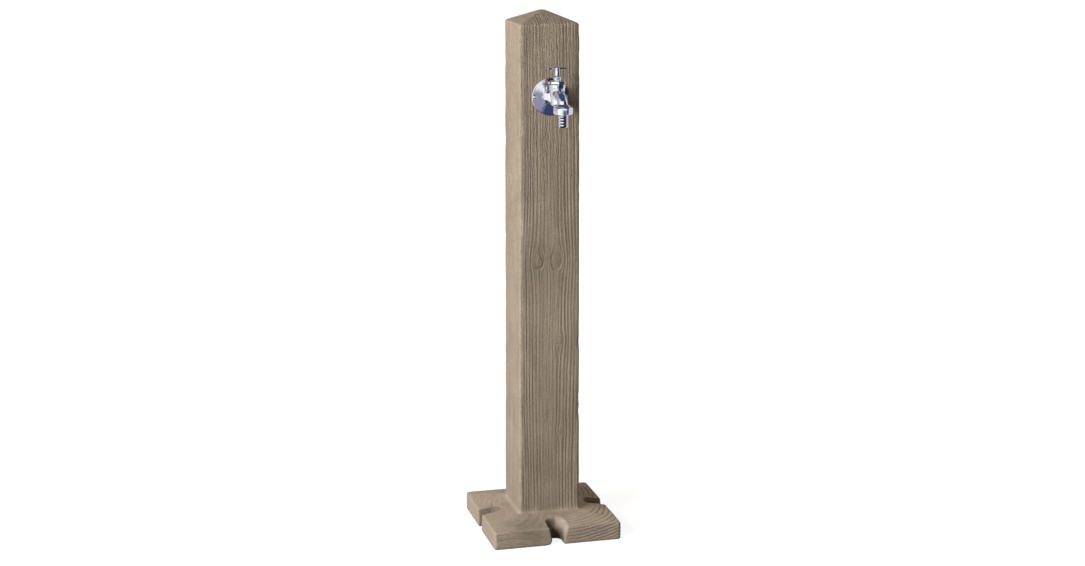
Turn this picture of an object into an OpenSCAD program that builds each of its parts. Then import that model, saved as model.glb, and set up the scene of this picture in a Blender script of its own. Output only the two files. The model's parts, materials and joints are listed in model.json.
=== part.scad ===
/* [Post] */
// Width of the square post where it meets the foot
post_w = 119; // [108:0.5:140]
// Width of the post just under the eaves
post_top_w = 114.5; // [104:0.5:136]
// Height from the ground to the tip of the cap
post_h = 1000; // [940:5:1200]
// Rise of the cap from the eaves to the tip
cap_rise = 20; // [10:1:40]
// Width of the worn flat at the tip of the cap
cap_tip_w = 14; // [8:1:40]
// Radius of the worn upright edges and of the eaves
post_edge_r = 5; // [2:0.5:9]

/* [Foot] */
// Width of the square foot
foot_w = 249; // [236:1:320]
// Height of the foot's rim
rim_h = 34; // [30:1:46]
// Rise of the foot's four slopes from the rim to the post
foot_rise = 11; // [4:1:24]
// Radius of the worn edges of the foot
foot_edge_r = 6; // [3:0.5:9]
// Chamfer round the underside
foot_chamfer = 2; // [1:0.5:4]
// Width of each anchor slot at the ground
slot_w = 22; // [14:1:26]
// Width of each anchor slot at the level of the post's foot
slot_top_w = 37; // [28:1:42]
// Height at which the slot's walls begin to lean outwards
slot_flare_z = 14; // [6:1:24]
// Distance from the foot's edge to the centre of the slot's round end
slot_len = 24; // [16:1:30]

/* [Water pipe] */
// Width of the square service duct up the middle of the post
duct_w = 54; // [50:1:60]
// Clear height of the duct above the inlet of the tap
duct_headroom = 40; // [30:1:70]
// Width of the square recess in the underside
recess_w = 96; // [90:1:106]
// Depth of the recess
recess_h = 30; // [26:1:40]
// Thickness of the plate that closes the recess
plate_t = 3; // [2:0.5:4]
// Clearance between the plate and the walls of the recess
plate_gap = 2; // [0.5:0.5:4]
// Distance of each plate screw from the two middle lines
plate_screw_x = 36; // [35:0.5:38]
// Outer diameter of the riser pipe
pipe_d = 21.3; // [21:0.1:21.6]
// Wall of the riser pipe
pipe_wall = 2.6; // [2:0.1:3.2]
// Height of the inlet's mouth above the ground
mouth_z = 12; // [6:1:14]
// Length of the free thread in the inlet
inlet_thread_l = 14; // [10:1:15]
// Diameter of the free thread's bore in the inlet
inlet_bore_d = 18.6; // [18.4:0.1:19]
// Diameter of the water way in the brass pieces
way_d = 15; // [12:0.5:16]
// Crest diameter of the half-inch pipe threads
half_thread_d = 20.8; // [20.4:0.1:20.9]
// Depth of engagement of each half-inch pipe thread
engage_l = 12; // [9:0.5:13]
// Thickness of the backing washer behind the front wall
backing_t = 3; // [2:0.5:5]
// Diameter of the backing washer
backing_d = 40; // [34:1:46]
// Diameter of the extension that passes through the front wall
extension_d = 25; // [24:0.5:27]
// Play between the extension and its hole in the casting
extension_play = 1; // [0.5:0.25:2]

/* [Tap] */
// Distance from the tip of the cap down to the tap's inlet
tap_drop = 153.5; // [120:0.5:240]
// Distance from the face of the post to the axis of the spindle
spindle_reach = 52.5; // [50:0.5:64]
// Distance from the axis of the spindle to the axis of the outlet
outlet_reach = 41; // [38:0.5:50]
// Diameter of the barrel at its rim
barrel_d = 30; // [28:0.5:33]
// Diameter of the barrel at its foot
barrel_foot_d = 24; // [22:0.5:27]
// Height of the barrel's rim above the inlet
barrel_rise = 29.8; // [28:0.2:36]
// Diameter of the round collar at the inlet
collar_d = 27; // [25:0.5:30]
// Diameter of the spout
spout_d = 17; // [16:0.5:20]
// Height of the valve seat above the inlet
seat_rise = 10.5; // [9.5:0.5:12]
// Drop from the inlet to the end of the outlet
outlet_drop = 13.8; // [12:0.2:20]
// Length of the outlet thread
outlet_thread_l = 8.6; // [7:0.2:10]
// Crest diameter of the three-quarter-inch outlet thread
outlet_thread_d = 26; // [25.4:0.1:26.4]
// Pitch of the pipe threads
pipe_pitch = 1.814; // [1.6:0.002:2]
// Lift of the valve between shut and fully open
valve_lift = 4.5; // [3:0.5:4.5]

/* [Rosette] */
// Diameter of the rosette
rosette_d = 69; // [60:1:80]
// Thickness of the rosette at its rim
rosette_rim_t = 2.6; // [2:0.2:4]
// Thickness of the rosette in the middle
rosette_mid_t = 5.5; // [4.2:0.1:8]
// Distance of each rosette screw from the middle
rosette_screw_x = 29.5; // [27:0.5:30]
// Diameter of the screws' heads
screw_head_d = 7; // [6:0.5:7.5]
// Diameter of the screws' shanks
screw_d = 3.5; // [3:0.1:4]
// Length of the screws under the head
screw_l = 25; // [16:1:26]

/* [Headwork] */
// Width across the flats of the headwork's hexagon
hex_af = 27; // [25:0.5:28]
// Height of the headwork's hexagon
hex_h = 5; // [4:0.5:7]
// Thickness of the sealing ring under the hexagon
gasket_t = 1; // [0.6:0.1:1.6]
// Width across the flats of the gland nut
gland_af = 12; // [11.6:0.1:13]
// Height of the gland nut
gland_h = 8.3; // [7.5:0.1:10]
// Diameter of the spindle's screw
spindle_screw_d = 10; // [9:0.5:10.5]
// Diameter of the spindle's stem
stem_d = 6; // [5:0.5:6.5]
// Width of the square at the top of the spindle
square_w = 4.2; // [3.6:0.1:4.2]

/* [Handle] */
// Length of the handle's cross bar
bar_l = 36; // [30:1:60]
// Thickness of the cross bar in the middle
bar_mid_d = 5; // [4.4:0.2:7]
// Thickness of the cross bar near its tips
bar_tip_d = 3.8; // [3:0.2:4.4]
// Diameter of the handle's hub
hub_d = 10; // [9:0.5:12]
// Height of the cross bar above the bottom of the hub
bar_rise = 12.2; // [10:0.2:16]

/* [Hose union] */
// Width across the flats of the union nut
union_af = 32; // [31:0.5:36]
// Height of the union nut
union_h = 14.4; // [12:0.2:18]
// Thickness of the union nut's lip
lip_t = 2.2; // [1.6:0.1:3]
// Thickness of the flange on the hose tail
flange_t = 2; // [1.6:0.1:3]
// Thickness of the flat rubber washer
union_washer_t = 1.7; // [1.4:0.1:2.4]
// Diameter of the crests of the hose tail
tail_crest_d = 18; // [16:0.1:18.2]
// Diameter of the roots of the hose tail
tail_root_d = 15.6; // [14.6:0.1:15.8]
// Bore of the hose tail
tail_bore_d = 12; // [10:0.5:13]
// Number of crests on the hose tail
crest_count = 4; // [3:1:6]
// Distance from one crest to the next
crest_pitch = 5.3; // [4.4:0.1:6]
// Length of the straight land on each crest
crest_land = 1.4; // [1:0.1:2]

/* [Clearances] */
// Radial gap in a thread that is screwed home
thread_gap = 0.1; // [0.05:0.01:0.2]
// Gap between pieces that turn or slide past each other
run_gap = 0.3; // [0.2:0.05:0.5]
// Gap between two faces that bear on each other
seat_gap = 0.1; // [0.05:0.01:0.2]
// Radial gap of a shaft that turns in its own bore
bearing_gap = 0.08; // [0.03:0.01:0.1]

/* [Hidden] */
$fn = 72;
edge_fn = 32;
eps = 0.02;
over = 1;

foot_h = rim_h + foot_rise;
eaves_z = post_h - cap_rise;
tap_z = post_h - tap_drop;
taper = (post_w - post_top_w) / 2 / (eaves_z - post_edge_r - foot_h);
function face_at(z) = post_w / 2 - max(0, z - foot_h) * taper;

slot_end_y = foot_w / 2 - slot_len;

plate_z = recess_h - plate_t;
plate_w = recess_w - 2 * plate_gap;
plate_hole_d = 26;
inlet_flange_t = 3;
inlet_body_d = 25.5;
inlet_flange_d = 34;
inlet_hex_af = 27;
locknut_af = 32;
locknut_h = 6;
riser_bottom_z = recess_h + locknut_h + 2;
inlet_top_z = riser_bottom_z + engage_l;
plate_plug_d = 8;
plate_plug_l = 34;
plate_screw_d = 5;
plate_head_d = 9.5;
plate_head_h = 3;

elbow_arm = duct_w / 2 - backing_t;
elbow_d = 27;
elbow_bead_d = 31;
elbow_bead_l = 5;
riser_top_z = tap_z - elbow_arm + engage_l;
duct_top_z = tap_z + duct_headroom;

tap_hole_d = extension_d + 2 * extension_play;
rosette_seat = max(face_at(tap_z - rosette_d / 2), face_at(tap_z + rosette_d / 2));
rosette_back_y = -(rosette_seat + seat_gap);
collar_y = rosette_back_y - rosette_mid_t;
extension_front_y = -(face_at(tap_z) - run_gap);
tap_tail_y = extension_front_y + engage_l;
rosette_hole_d = half_thread_d + 2 * run_gap;
rosette_mid_d = 32;
head_h = 2.2;
head_recess_d = screw_head_d + 2 * run_gap;
rosette_plug_d = 6;
rosette_plug_l = screw_l + 2;
screw_seat_y = rosette_back_y - rosette_rim_t + 0.6;

spindle_y = -(face_at(tap_z) + spindle_reach);
outlet_y = spindle_y - outlet_reach;
rim_z = tap_z + barrel_rise;
seat_z = tap_z + seat_rise;
seat_d = 11;
seat_rim_d = 14;
chamber_floor_z = seat_z - 2;
headwork_thread_d = 20.8;
chamber_d = headwork_thread_d + 2 * thread_gap;
hex_z = rim_z + gasket_t;
neck_z = hex_z + hex_h;
inlet_way_d = 12;
spout_top = [0, spindle_y - 2, seat_z + 9.5];
spout_bend = [0, outlet_y, tap_z + 1];
spout_root = spout_top + 0.12 * (spout_bend - spout_top);
spout_root_d = barrel_foot_d - 1;
spout_knee_d = spout_d + 0.6;
outlet_end_z = tap_z - outlet_drop;
outlet_thread_z = outlet_end_z + outlet_thread_l;
outlet_way_d = 12;
spout_way_d = 11;
outlet_root_d = outlet_thread_d - 2.2;

seat_washer_t = 3.5;
seat_washer_d = 14.4;
jumper_z = seat_z + seat_washer_t;
jumper_t = 2;
jumper_stem_d = 6;
jumper_stem_l = 8.5;
jumper_stub_d = 4;
washer_nut_af = 7;
washer_nut_h = 2.4;
washer_nut_z = seat_z - washer_nut_h - seat_gap;

spindle_z = jumper_z + jumper_t + seat_gap;
headwork_z = spindle_z + valve_lift + run_gap;
headwork_bore_top_z = neck_z - 1.2;
spindle_screw_top_z = headwork_bore_top_z - valve_lift - 1;
spindle_screw_l = spindle_screw_top_z - spindle_z;
neck_h = 5.5;
neck_d = 10.4;
packing_z = neck_z + 0.8;
packing_top_z = neck_z + neck_h - 0.6;
packing_d = 8.6;
gland_z = neck_z + 0.4;
gland_top_z = gland_z + gland_h;
hub_z = gland_top_z + 0.8;
bar_z = hub_z + bar_rise;
hub_top_z = bar_z + bar_mid_d / 2 + seat_gap;
square_top_z = bar_z - 2;
handle_screw_d = 2.5;
handle_head_d = 5;
handle_head_h = 1.3;
handle_screw_grip = 6;

union_top_z = outlet_thread_z - run_gap;
union_z = union_top_z - union_h;
lip_top_z = union_z + lip_t;
flange_z = lip_top_z + seat_gap;
union_washer_z = flange_z + flange_t;
union_bore_d = outlet_thread_d + 2 * run_gap;
flange_d = union_bore_d - 2 * run_gap - 0.4;
lip_hole_d = tail_crest_d + 4 * run_gap;
tail_neck_d = tail_crest_d - 0.4;
tail_top_crest_z = union_z - 2.4;
tail_bottom_z = tail_top_crest_z - crest_count * crest_pitch;

stone = "#92836c";
steel = "#9aa0a4";
brass = "#b5a05a";
chrome = "#c9ccd2";
nylon = "#8f9092";
rubber = "#26262a";
fibre = "#7a4a3a";

// Helpers

// Four upright round rods at the corners of a square of the given width
module corner_rods(w, r, h) {
    c = w / 2 - r;
    for (x = [-c, c], y = [-c, c])
        translate([x, y, 0]) cylinder(r = r, h = h, $fn = edge_fn);
}

// Four balls at the corners of a square of the given width, with their tops at z = 0
module corner_balls(w, r) {
    c = w / 2 - r;
    for (x = [-c, c], y = [-c, c])
        translate([x, y, -r]) sphere(r = r, $fn = edge_fn);
}

module ring(outer_d, inner_d, h) {
    difference() {
        cylinder(d = outer_d, h = h);
        translate([0, 0, -over]) cylinder(d = inner_d, h = h + 2 * over);
    }
}

// A hexagonal prism with its corners turned off at the chosen ends
module hex_bar(af, h, top = true, bottom = true) {
    ac = af / cos(30);
    bevel = (ac - af) / 2;
    intersection() {
        rotate([0, 0, 30]) cylinder(d = ac, h = h, $fn = 6);
        rotate_extrude()
            polygon([
                [0, 0],
                [bottom ? af / 2 : ac / 2 + over, 0],
                [ac / 2 + (bottom ? 0 : over), bevel * 0.7],
                [ac / 2 + (top ? 0 : over), h - bevel * 0.7],
                [top ? af / 2 : ac / 2 + over, h],
                [0, h]
            ]);
    }
}

// A rod with a row of thread-like ridges, from z = 0 up
module ridged_rod(crest_d, root_d, l, pitch) {
    n = floor(l / pitch);
    start = (l - n * pitch) / 2;
    rotate_extrude()
        polygon(concat(
            [[0, 0], [root_d / 2, 0]],
            [for (i = [0 : n - 1], k = [0, 1])
                [k == 0 ? root_d / 2 : crest_d / 2, start + (i + (k == 0 ? 0.02 : 0.5)) * pitch]],
            [[root_d / 2, l], [0, l]]
        ));
}

// A straight round bar between two points of the plane x = 0
module bar_between(a, b, d1, d2) {
    v = b - a;
    translate(a)
        rotate([atan2(-v[1], v[2]), 0, 0])
            cylinder(h = norm(v), d1 = d1, d2 = d2);
}

// A round piece along -Y that starts at the given y, on the tap's inlet axis
module along_inlet(y) {
    translate([0, y, tap_z]) rotate([90, 0, 0]) children();
}

module at_spindle(z) {
    translate([0, spindle_y, z]) children();
}

module at_outlet(z) {
    translate([0, outlet_y, z]) children();
}

module at_rosette_screws(y) {
    for (x = [-rosette_screw_x, rosette_screw_x])
        translate([x, y, tap_z]) rotate([90, 0, 0]) children();
}

module at_plate_screws(z) {
    for (x = [-plate_screw_x, plate_screw_x], y = [-plate_screw_x, plate_screw_x])
        translate([x, y, z]) children();
}

// A pan-headed screw that points down from its head at z = 0, with a cross recess
module pan_screw(d, l, head_d, head_h) {
    cross_w = head_d * 0.13;
    cross_l = head_d * 0.56;
    difference() {
        rotate_extrude()
            polygon([
                [0, -l], [d * 0.12, -l + d * 0.2], [d / 2, -l + d], [d / 2, 0],
                [head_d / 2, 0], [head_d / 2, head_h * 0.35],
                [head_d * 0.43, head_h * 0.7], [head_d * 0.28, head_h * 0.93], [0, head_h]
            ]);
        for (a = [0, 90])
            rotate([0, 0, a])
                translate([-cross_l / 2, -cross_w / 2, head_h * 0.45])
                    cube([cross_l, cross_w, head_h]);
    }
}

// Casting

module post_shaft() {
    hull() {
        corner_rods(post_w, post_edge_r, foot_h);
        translate([0, 0, eaves_z]) corner_balls(post_top_w, post_edge_r);
        translate([0, 0, post_h - eps]) corner_rods(cap_tip_w, cap_tip_w / 4, eps);
    }
}

module foot_block() {
    hull() {
        corner_rods(foot_w - 2 * foot_chamfer, foot_edge_r - foot_chamfer / 2, eps);
        translate([0, 0, foot_chamfer])
            corner_rods(foot_w, foot_edge_r, rim_h - foot_edge_r - foot_chamfer);
        translate([0, 0, rim_h]) corner_balls(foot_w, foot_edge_r);
        translate([0, 0, foot_h - eps]) corner_rods(post_w, post_edge_r, eps);
    }
}

// Half of the slot's outline across its length
function slot_half() = [
    [slot_w / 2, -over],
    [slot_w / 2, slot_flare_z],
    [slot_top_w / 2, foot_h],
    [slot_top_w / 2 + over, foot_h + over]
];

module anchor_slot() {
    half = slot_half();
    top = half[3][1];
    translate([0, -slot_end_y, 0]) {
        rotate_extrude() polygon(concat([[0, -over]], half, [[0, top]]));
        rotate([90, 0, 0])
            linear_extrude(slot_len + over)
                polygon(concat(half, [for (i = [3 : -1 : 0]) [-half[i][0], half[i][1]]]));
    }
}

module post_casting() {
    color(stone)
    difference() {
        union() {
            post_shaft();
            foot_block();
        }
        for (a = [0 : 90 : 270]) rotate([0, 0, a]) anchor_slot();
        translate([-recess_w / 2, -recess_w / 2, -over])
            cube([recess_w, recess_w, recess_h + over]);
        translate([-duct_w / 2, -duct_w / 2, 0])
            cube([duct_w, duct_w, duct_top_z]);
        along_inlet(0) cylinder(d = tap_hole_d, h = post_w);
        at_rosette_screws(rosette_back_y + rosette_plug_l + seat_gap)
            cylinder(d = rosette_plug_d + 2 * thread_gap, h = rosette_plug_l + over);
        at_plate_screws(recess_h - over)
            cylinder(d = plate_plug_d + 2 * thread_gap, h = plate_plug_l + over);
    }
}

// Water pipe

module foot_plate() {
    color(steel)
    translate([0, 0, plate_z])
    difference() {
        translate([-plate_w / 2, -plate_w / 2, 0]) cube([plate_w, plate_w, plate_t - seat_gap]);
        translate([0, 0, -over]) cylinder(d = plate_hole_d, h = plate_t + 2 * over);
        at_plate_screws(-over)
            cylinder(d = plate_screw_d + 2 * run_gap, h = plate_t + 2 * over);
    }
}

module foot_plate_plugs() {
    color(nylon)
    at_plate_screws(recess_h)
    difference() {
        cylinder(d = plate_plug_d, h = plate_plug_l - over);
        translate([0, 0, -over])
            cylinder(d = plate_screw_d + 2 * thread_gap, h = plate_plug_l - 2);
    }
}

module foot_plate_screws() {
    color(steel)
    at_plate_screws(plate_z)
        mirror([0, 0, 1])
            pan_screw(plate_screw_d, plate_plug_l - 2, plate_head_d, plate_head_h);
}

module inlet_socket() {
    flange_z0 = plate_z - inlet_flange_t;
    color(brass)
    difference() {
        union() {
            translate([0, 0, mouth_z]) hex_bar(inlet_hex_af, flange_z0 - mouth_z + eps, top = false);
            translate([0, 0, flange_z0]) cylinder(d = inlet_flange_d, h = inlet_flange_t - seat_gap);
            translate([0, 0, flange_z0]) cylinder(d = inlet_body_d, h = inlet_top_z - flange_z0);
        }
        translate([0, 0, mouth_z - over]) cylinder(d = inlet_bore_d, h = inlet_thread_l + over);
        translate([0, 0, mouth_z]) cylinder(d = way_d, h = inlet_top_z - mouth_z);
        translate([0, 0, riser_bottom_z])
            cylinder(d = half_thread_d + 2 * thread_gap, h = engage_l + over);
    }
}

module inlet_locknut() {
    color(brass)
    translate([0, 0, recess_h])
    difference() {
        hex_bar(locknut_af, locknut_h);
        translate([0, 0, -over]) cylinder(d = inlet_body_d + 2 * thread_gap, h = locknut_h + 2 * over);
    }
}

module riser_pipe() {
    l = riser_top_z - riser_bottom_z - 2 * seat_gap;
    color(steel)
    translate([0, 0, riser_bottom_z + seat_gap])
    difference() {
        union() {
            cylinder(d = half_thread_d, h = l);
            translate([0, 0, engage_l]) cylinder(d = pipe_d, h = l - 2 * engage_l);
        }
        translate([0, 0, -over]) cylinder(d = pipe_d - 2 * pipe_wall, h = l + 2 * over);
    }
}

module elbow_arms(d, start, l) {
    translate([0, 0, tap_z - start - l]) cylinder(d = d, h = l);
    along_inlet(-start) cylinder(d = d, h = l);
}

module riser_elbow() {
    color(brass)
    difference() {
        union() {
            translate([0, 0, tap_z]) sphere(d = elbow_d);
            elbow_arms(elbow_d, 0, elbow_arm);
            elbow_arms(elbow_bead_d, elbow_arm - elbow_bead_l, elbow_bead_l);
        }
        translate([0, 0, tap_z]) sphere(d = way_d);
        elbow_arms(way_d, 0, elbow_arm + over);
        elbow_arms(half_thread_d + 2 * thread_gap, elbow_arm - engage_l, engage_l + over);
    }
}

module backing_washer() {
    color(steel)
    along_inlet(-elbow_arm - seat_gap)
        ring(backing_d, half_thread_d + 2 * run_gap, backing_t - 2 * seat_gap);
}

module tap_extension() {
    rear_y = -(elbow_arm - engage_l) - seat_gap;
    shoulder_y = -duct_w / 2;
    front_l = shoulder_y - extension_front_y;
    color(brass)
    difference() {
        union() {
            along_inlet(rear_y) cylinder(d = half_thread_d, h = rear_y - shoulder_y + eps);
            along_inlet(shoulder_y) cylinder(d = extension_d, h = front_l);
        }
        along_inlet(rear_y + over) cylinder(d = way_d, h = rear_y - extension_front_y + 2 * over);
        along_inlet(extension_front_y + engage_l + over)
            cylinder(d = half_thread_d + 2 * thread_gap, h = engage_l + 2 * over);
    }
}

// Rosette

module rosette() {
    r = rosette_d / 2;
    color(chrome)
    difference() {
        along_inlet(rosette_back_y)
            rotate_extrude()
                polygon([
                    [0, 0], [r - 0.5, 0], [r, 0.5], [r, rosette_rim_t - 1],
                    [r - 0.3, rosette_rim_t - 0.3], [r - 1, rosette_rim_t],
                    [rosette_mid_d / 2 + 1, rosette_mid_t - 0.3], [rosette_mid_d / 2 - 1, rosette_mid_t],
                    [0, rosette_mid_t]
                ]);
        along_inlet(rosette_back_y + over)
            cylinder(d = rosette_hole_d, h = rosette_mid_t + 2 * over);
        at_rosette_screws(rosette_back_y + over)
            cylinder(d = screw_d + 2 * run_gap, h = rosette_mid_t + over);
        at_rosette_screws(screw_seat_y)
            cylinder(d = head_recess_d, h = rosette_mid_t);
    }
}

module rosette_plugs() {
    color(nylon)
    at_rosette_screws(rosette_back_y + rosette_plug_l)
    difference() {
        cylinder(d = rosette_plug_d, h = rosette_plug_l - over);
        translate([0, 0, over]) cylinder(d = screw_d + 2 * thread_gap, h = rosette_plug_l);
    }
}

module rosette_screws() {
    color(chrome)
    at_rosette_screws(screw_seat_y - seat_gap)
        pan_screw(screw_d, screw_l, screw_head_d, head_h);
}

// Tap

module barrel() {
    foot = barrel_foot_d / 2;
    rim = barrel_d / 2;
    at_spindle(tap_z)
        rotate_extrude()
            polygon([
                [0, -collar_d / 2], [foot * 0.5, -collar_d / 2], [foot * 0.8, -collar_d / 2 + 1.6],
                [foot * 0.96, -collar_d / 2 + 4.4], [foot, -collar_d / 2 + 7], [foot, 1],
                [rim - 0.6, barrel_rise - 8], [rim, barrel_rise - 6], [rim, barrel_rise - 0.6],
                [rim - 0.6, barrel_rise], [0, barrel_rise]
            ]);
}

module inlet_arm() {
    arm_l = collar_y - spindle_y;
    tail_l = tap_tail_y - collar_y;
    along_inlet(collar_y)
        rotate_extrude()
            polygon([
                [0, 0], [collar_d / 2 - 0.6, 0], [collar_d / 2, 0.6], [collar_d / 2, 4],
                [collar_d / 2 - 0.8, 5.4], [barrel_foot_d / 2 - 1, 9], [barrel_foot_d / 2 - 1.4, 14],
                [barrel_foot_d / 2 - 1.4, arm_l], [0, arm_l]
            ]);
    along_inlet(tap_tail_y)
        ridged_rod(half_thread_d, half_thread_d - 2, tail_l + eps, pipe_pitch);
}

module spout() {
    bar_between(spout_root, spout_bend, spout_root_d, spout_d);
    translate(spout_bend) sphere(d = spout_knee_d);
    at_outlet(outlet_thread_z) cylinder(d = spout_d, h = spout_bend[2] - outlet_thread_z);
    at_outlet(outlet_thread_z)
        cylinder(d1 = outlet_thread_d + 1, d2 = spout_d, h = 4);
    at_outlet(outlet_end_z)
        ridged_rod(outlet_thread_d, outlet_root_d, outlet_thread_l + eps, pipe_pitch);
}

module tap_ways() {
    along_inlet(tap_tail_y + over)
        cylinder(d = inlet_way_d, h = tap_tail_y + over - spindle_y + inlet_way_d / 2);
    at_spindle(tap_z) cylinder(d = seat_d, h = seat_rise + over);
    at_spindle(chamber_floor_z)
        difference() {
            cylinder(d = chamber_d, h = rim_z - chamber_floor_z + over);
            translate([0, 0, -over]) cylinder(d = seat_rim_d, h = seat_z - chamber_floor_z + over);
        }
    bar_between(spout_top, spout_bend, spout_way_d, spout_way_d);
    translate(spout_bend) sphere(d = outlet_way_d);
    at_outlet(outlet_end_z - over) cylinder(d = outlet_way_d, h = spout_bend[2] - outlet_end_z + over);
}

module tap_body() {
    color(chrome)
    difference() {
        union() {
            barrel();
            inlet_arm();
            spout();
        }
        tap_ways();
    }
}

module headwork_gasket() {
    color(fibre)
    at_spindle(rim_z + seat_gap)
        ring(barrel_d - 1, headwork_thread_d + 2 * thread_gap, gasket_t - 2 * seat_gap);
}

module headwork() {
    color(chrome)
    difference() {
        union() {
            at_spindle(headwork_z)
                ridged_rod(headwork_thread_d, headwork_thread_d - 2, hex_z - headwork_z + eps, pipe_pitch);
            at_spindle(hex_z) hex_bar(hex_af, hex_h, bottom = false);
            at_spindle(neck_z - eps) cylinder(d = neck_d, h = neck_h + eps);
        }
        at_spindle(headwork_z - over)
            cylinder(d = spindle_screw_d + 2 * bearing_gap, h = headwork_bore_top_z - headwork_z + over);
        at_spindle(rim_z) cylinder(d = stem_d + 2 * bearing_gap, h = neck_z + neck_h - rim_z + over);
        at_spindle(packing_z - seat_gap)
            cylinder(d = packing_d + 2 * thread_gap, h = neck_z + neck_h - packing_z + over);
    }
}

module gland_packing() {
    color(rubber)
    at_spindle(packing_z)
        ring(packing_d, stem_d + 2 * bearing_gap, packing_top_z - packing_z);
}

module gland_nut() {
    inner_l = neck_h + neck_z - gland_z + seat_gap;
    follower_z = packing_top_z + seat_gap;
    color(chrome)
    at_spindle(gland_z)
    difference() {
        hex_bar(gland_af, gland_h, bottom = false);
        difference() {
            translate([0, 0, -over]) cylinder(d = neck_d + 2 * thread_gap, h = inner_l + over);
            translate([0, 0, follower_z - gland_z]) cylinder(d = packing_d, h = gland_h);
        }
        translate([0, 0, -over]) cylinder(d = stem_d + 4 * bearing_gap, h = gland_h + 2 * over);
    }
}

// Moving valve

module jumper_valve() {
    color(brass)
    at_spindle(jumper_z)
    union() {
        cylinder(d = seat_washer_d, h = jumper_t);
        cylinder(d = jumper_stem_d, h = jumper_t + jumper_stem_l);
        translate([0, 0, washer_nut_z - jumper_z - 0.6])
            cylinder(d = jumper_stub_d, h = jumper_z - washer_nut_z + 0.6 + eps);
    }
}

module seat_washer() {
    color(rubber)
    at_spindle(seat_z + seat_gap / 2)
        ring(seat_washer_d, jumper_stub_d + 2 * thread_gap, seat_washer_t - seat_gap);
}

module washer_nut() {
    color(brass)
    at_spindle(washer_nut_z)
    difference() {
        hex_bar(washer_nut_af, washer_nut_h);
        translate([0, 0, -over]) cylinder(d = jumper_stub_d + 2 * thread_gap, h = washer_nut_h + 2 * over);
    }
}

module spindle() {
    color(brass)
    difference() {
        union() {
            at_spindle(spindle_z) cylinder(d = spindle_screw_d, h = spindle_screw_l);
            at_spindle(spindle_z) cylinder(d = stem_d, h = hub_z + 1 - spindle_z);
            translate([-square_w / 2, spindle_y - square_w / 2, hub_z])
                cube([square_w, square_w, square_top_z - hub_z]);
        }
        at_spindle(spindle_z - over)
            cylinder(d = jumper_stem_d + 2 * bearing_gap, h = jumper_stem_l + over + seat_gap);
        at_spindle(square_top_z - handle_screw_grip - over)
            cylinder(d = handle_screw_d + thread_gap, h = handle_screw_grip + 2 * over);
    }
}

module t_handle() {
    hub = hub_d / 2;
    mid = bar_mid_d / 2;
    tip = bar_tip_d / 2;
    half = bar_l / 2;
    bore = square_w + 2 * thread_gap;
    color(chrome)
    difference() {
        union() {
            at_spindle(hub_z)
                rotate_extrude()
                    polygon([
                        [0, 0], [hub - 0.5, 0], [hub, 0.5], [hub, bar_rise * 0.45],
                        [hub - 0.7, bar_rise * 0.66], [hub - 0.3, bar_rise * 0.84],
                        [hub, bar_rise], [hub - 0.6, hub_top_z - hub_z - 0.3],
                        [hub - 1.6, hub_top_z - hub_z], [0, hub_top_z - hub_z]
                    ]);
            at_spindle(bar_z)
                rotate([0, 90, 0])
                    rotate_extrude()
                        polygon([
                            [0, -half], [tip * 0.6, -half + tip * 0.2], [tip, -half + tip],
                            [mid, -hub * 0.8], [mid, hub * 0.8],
                            [tip, half - tip], [tip * 0.6, half - tip * 0.2], [0, half]
                        ]);
        }
        translate([-bore / 2, spindle_y - bore / 2, hub_z - over])
            cube([bore, bore, square_top_z - hub_z + over + run_gap]);
        at_spindle(hub_z - over) cylinder(d = stem_d + 2 * thread_gap, h = over + 1 + seat_gap);
        at_spindle(hub_z) cylinder(d = handle_screw_d + 2 * run_gap, h = hub_top_z - hub_z + over);
    }
}

module handle_screw() {
    color(chrome)
    at_spindle(hub_top_z + seat_gap)
        pan_screw(handle_screw_d, hub_top_z - square_top_z + handle_screw_grip, handle_head_d, handle_head_h);
}

// Hose union

module union_nut() {
    color(chrome)
    at_outlet(union_z)
    difference() {
        hex_bar(union_af, union_h);
        translate([0, 0, -over]) cylinder(d = lip_hole_d, h = lip_t + 2 * over);
        translate([0, 0, lip_t]) cylinder(d = union_bore_d, h = union_h);
    }
}

module union_washer() {
    color(rubber)
    at_outlet(union_washer_z)
        ring(flange_d - 0.6, tail_bore_d, outlet_end_z - union_washer_z - seat_gap);
}

// Outline of one crest, from its shoulder down: a straight land and a cone to the root
function crest_points(top) = [
    [tail_crest_d / 2, top],
    [tail_crest_d / 2, top - crest_land],
    [tail_root_d / 2, top - crest_pitch + 0.3],
    [tail_root_d / 2, top - crest_pitch]
];

module hose_tail() {
    color(chrome)
    at_outlet(0)
    difference() {
        rotate_extrude()
            polygon(concat(
                [[0, union_washer_z], [flange_d / 2, union_washer_z], [flange_d / 2, flange_z],
                 [tail_neck_d / 2, flange_z], [tail_neck_d / 2, tail_top_crest_z + 0.6]],
                [for (i = [0 : crest_count - 1], p = crest_points(tail_top_crest_z - i * crest_pitch)) p],
                [[0, tail_bottom_z]]
            ));
        translate([0, 0, tail_bottom_z - over])
            cylinder(d = tail_bore_d, h = union_washer_z - tail_bottom_z + 2 * over);
    }
}

post_casting();
foot_plate();
foot_plate_plugs();
foot_plate_screws();
inlet_socket();
inlet_locknut();
riser_pipe();
riser_elbow();
backing_washer();
tap_extension();
rosette();
rosette_plugs();
rosette_screws();
tap_body();
headwork_gasket();
headwork();
gland_packing();
gland_nut();
spindle();
jumper_valve();
seat_washer();
washer_nut();
t_handle();
handle_screw();
union_nut();
union_washer();
hose_tail();
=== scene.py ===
import json
import math

import bmesh
import bpy
import numpy as np
from bpy.props import FloatProperty, FloatVectorProperty, IntProperty, PointerProperty
from mathutils import Matrix, Vector


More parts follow.
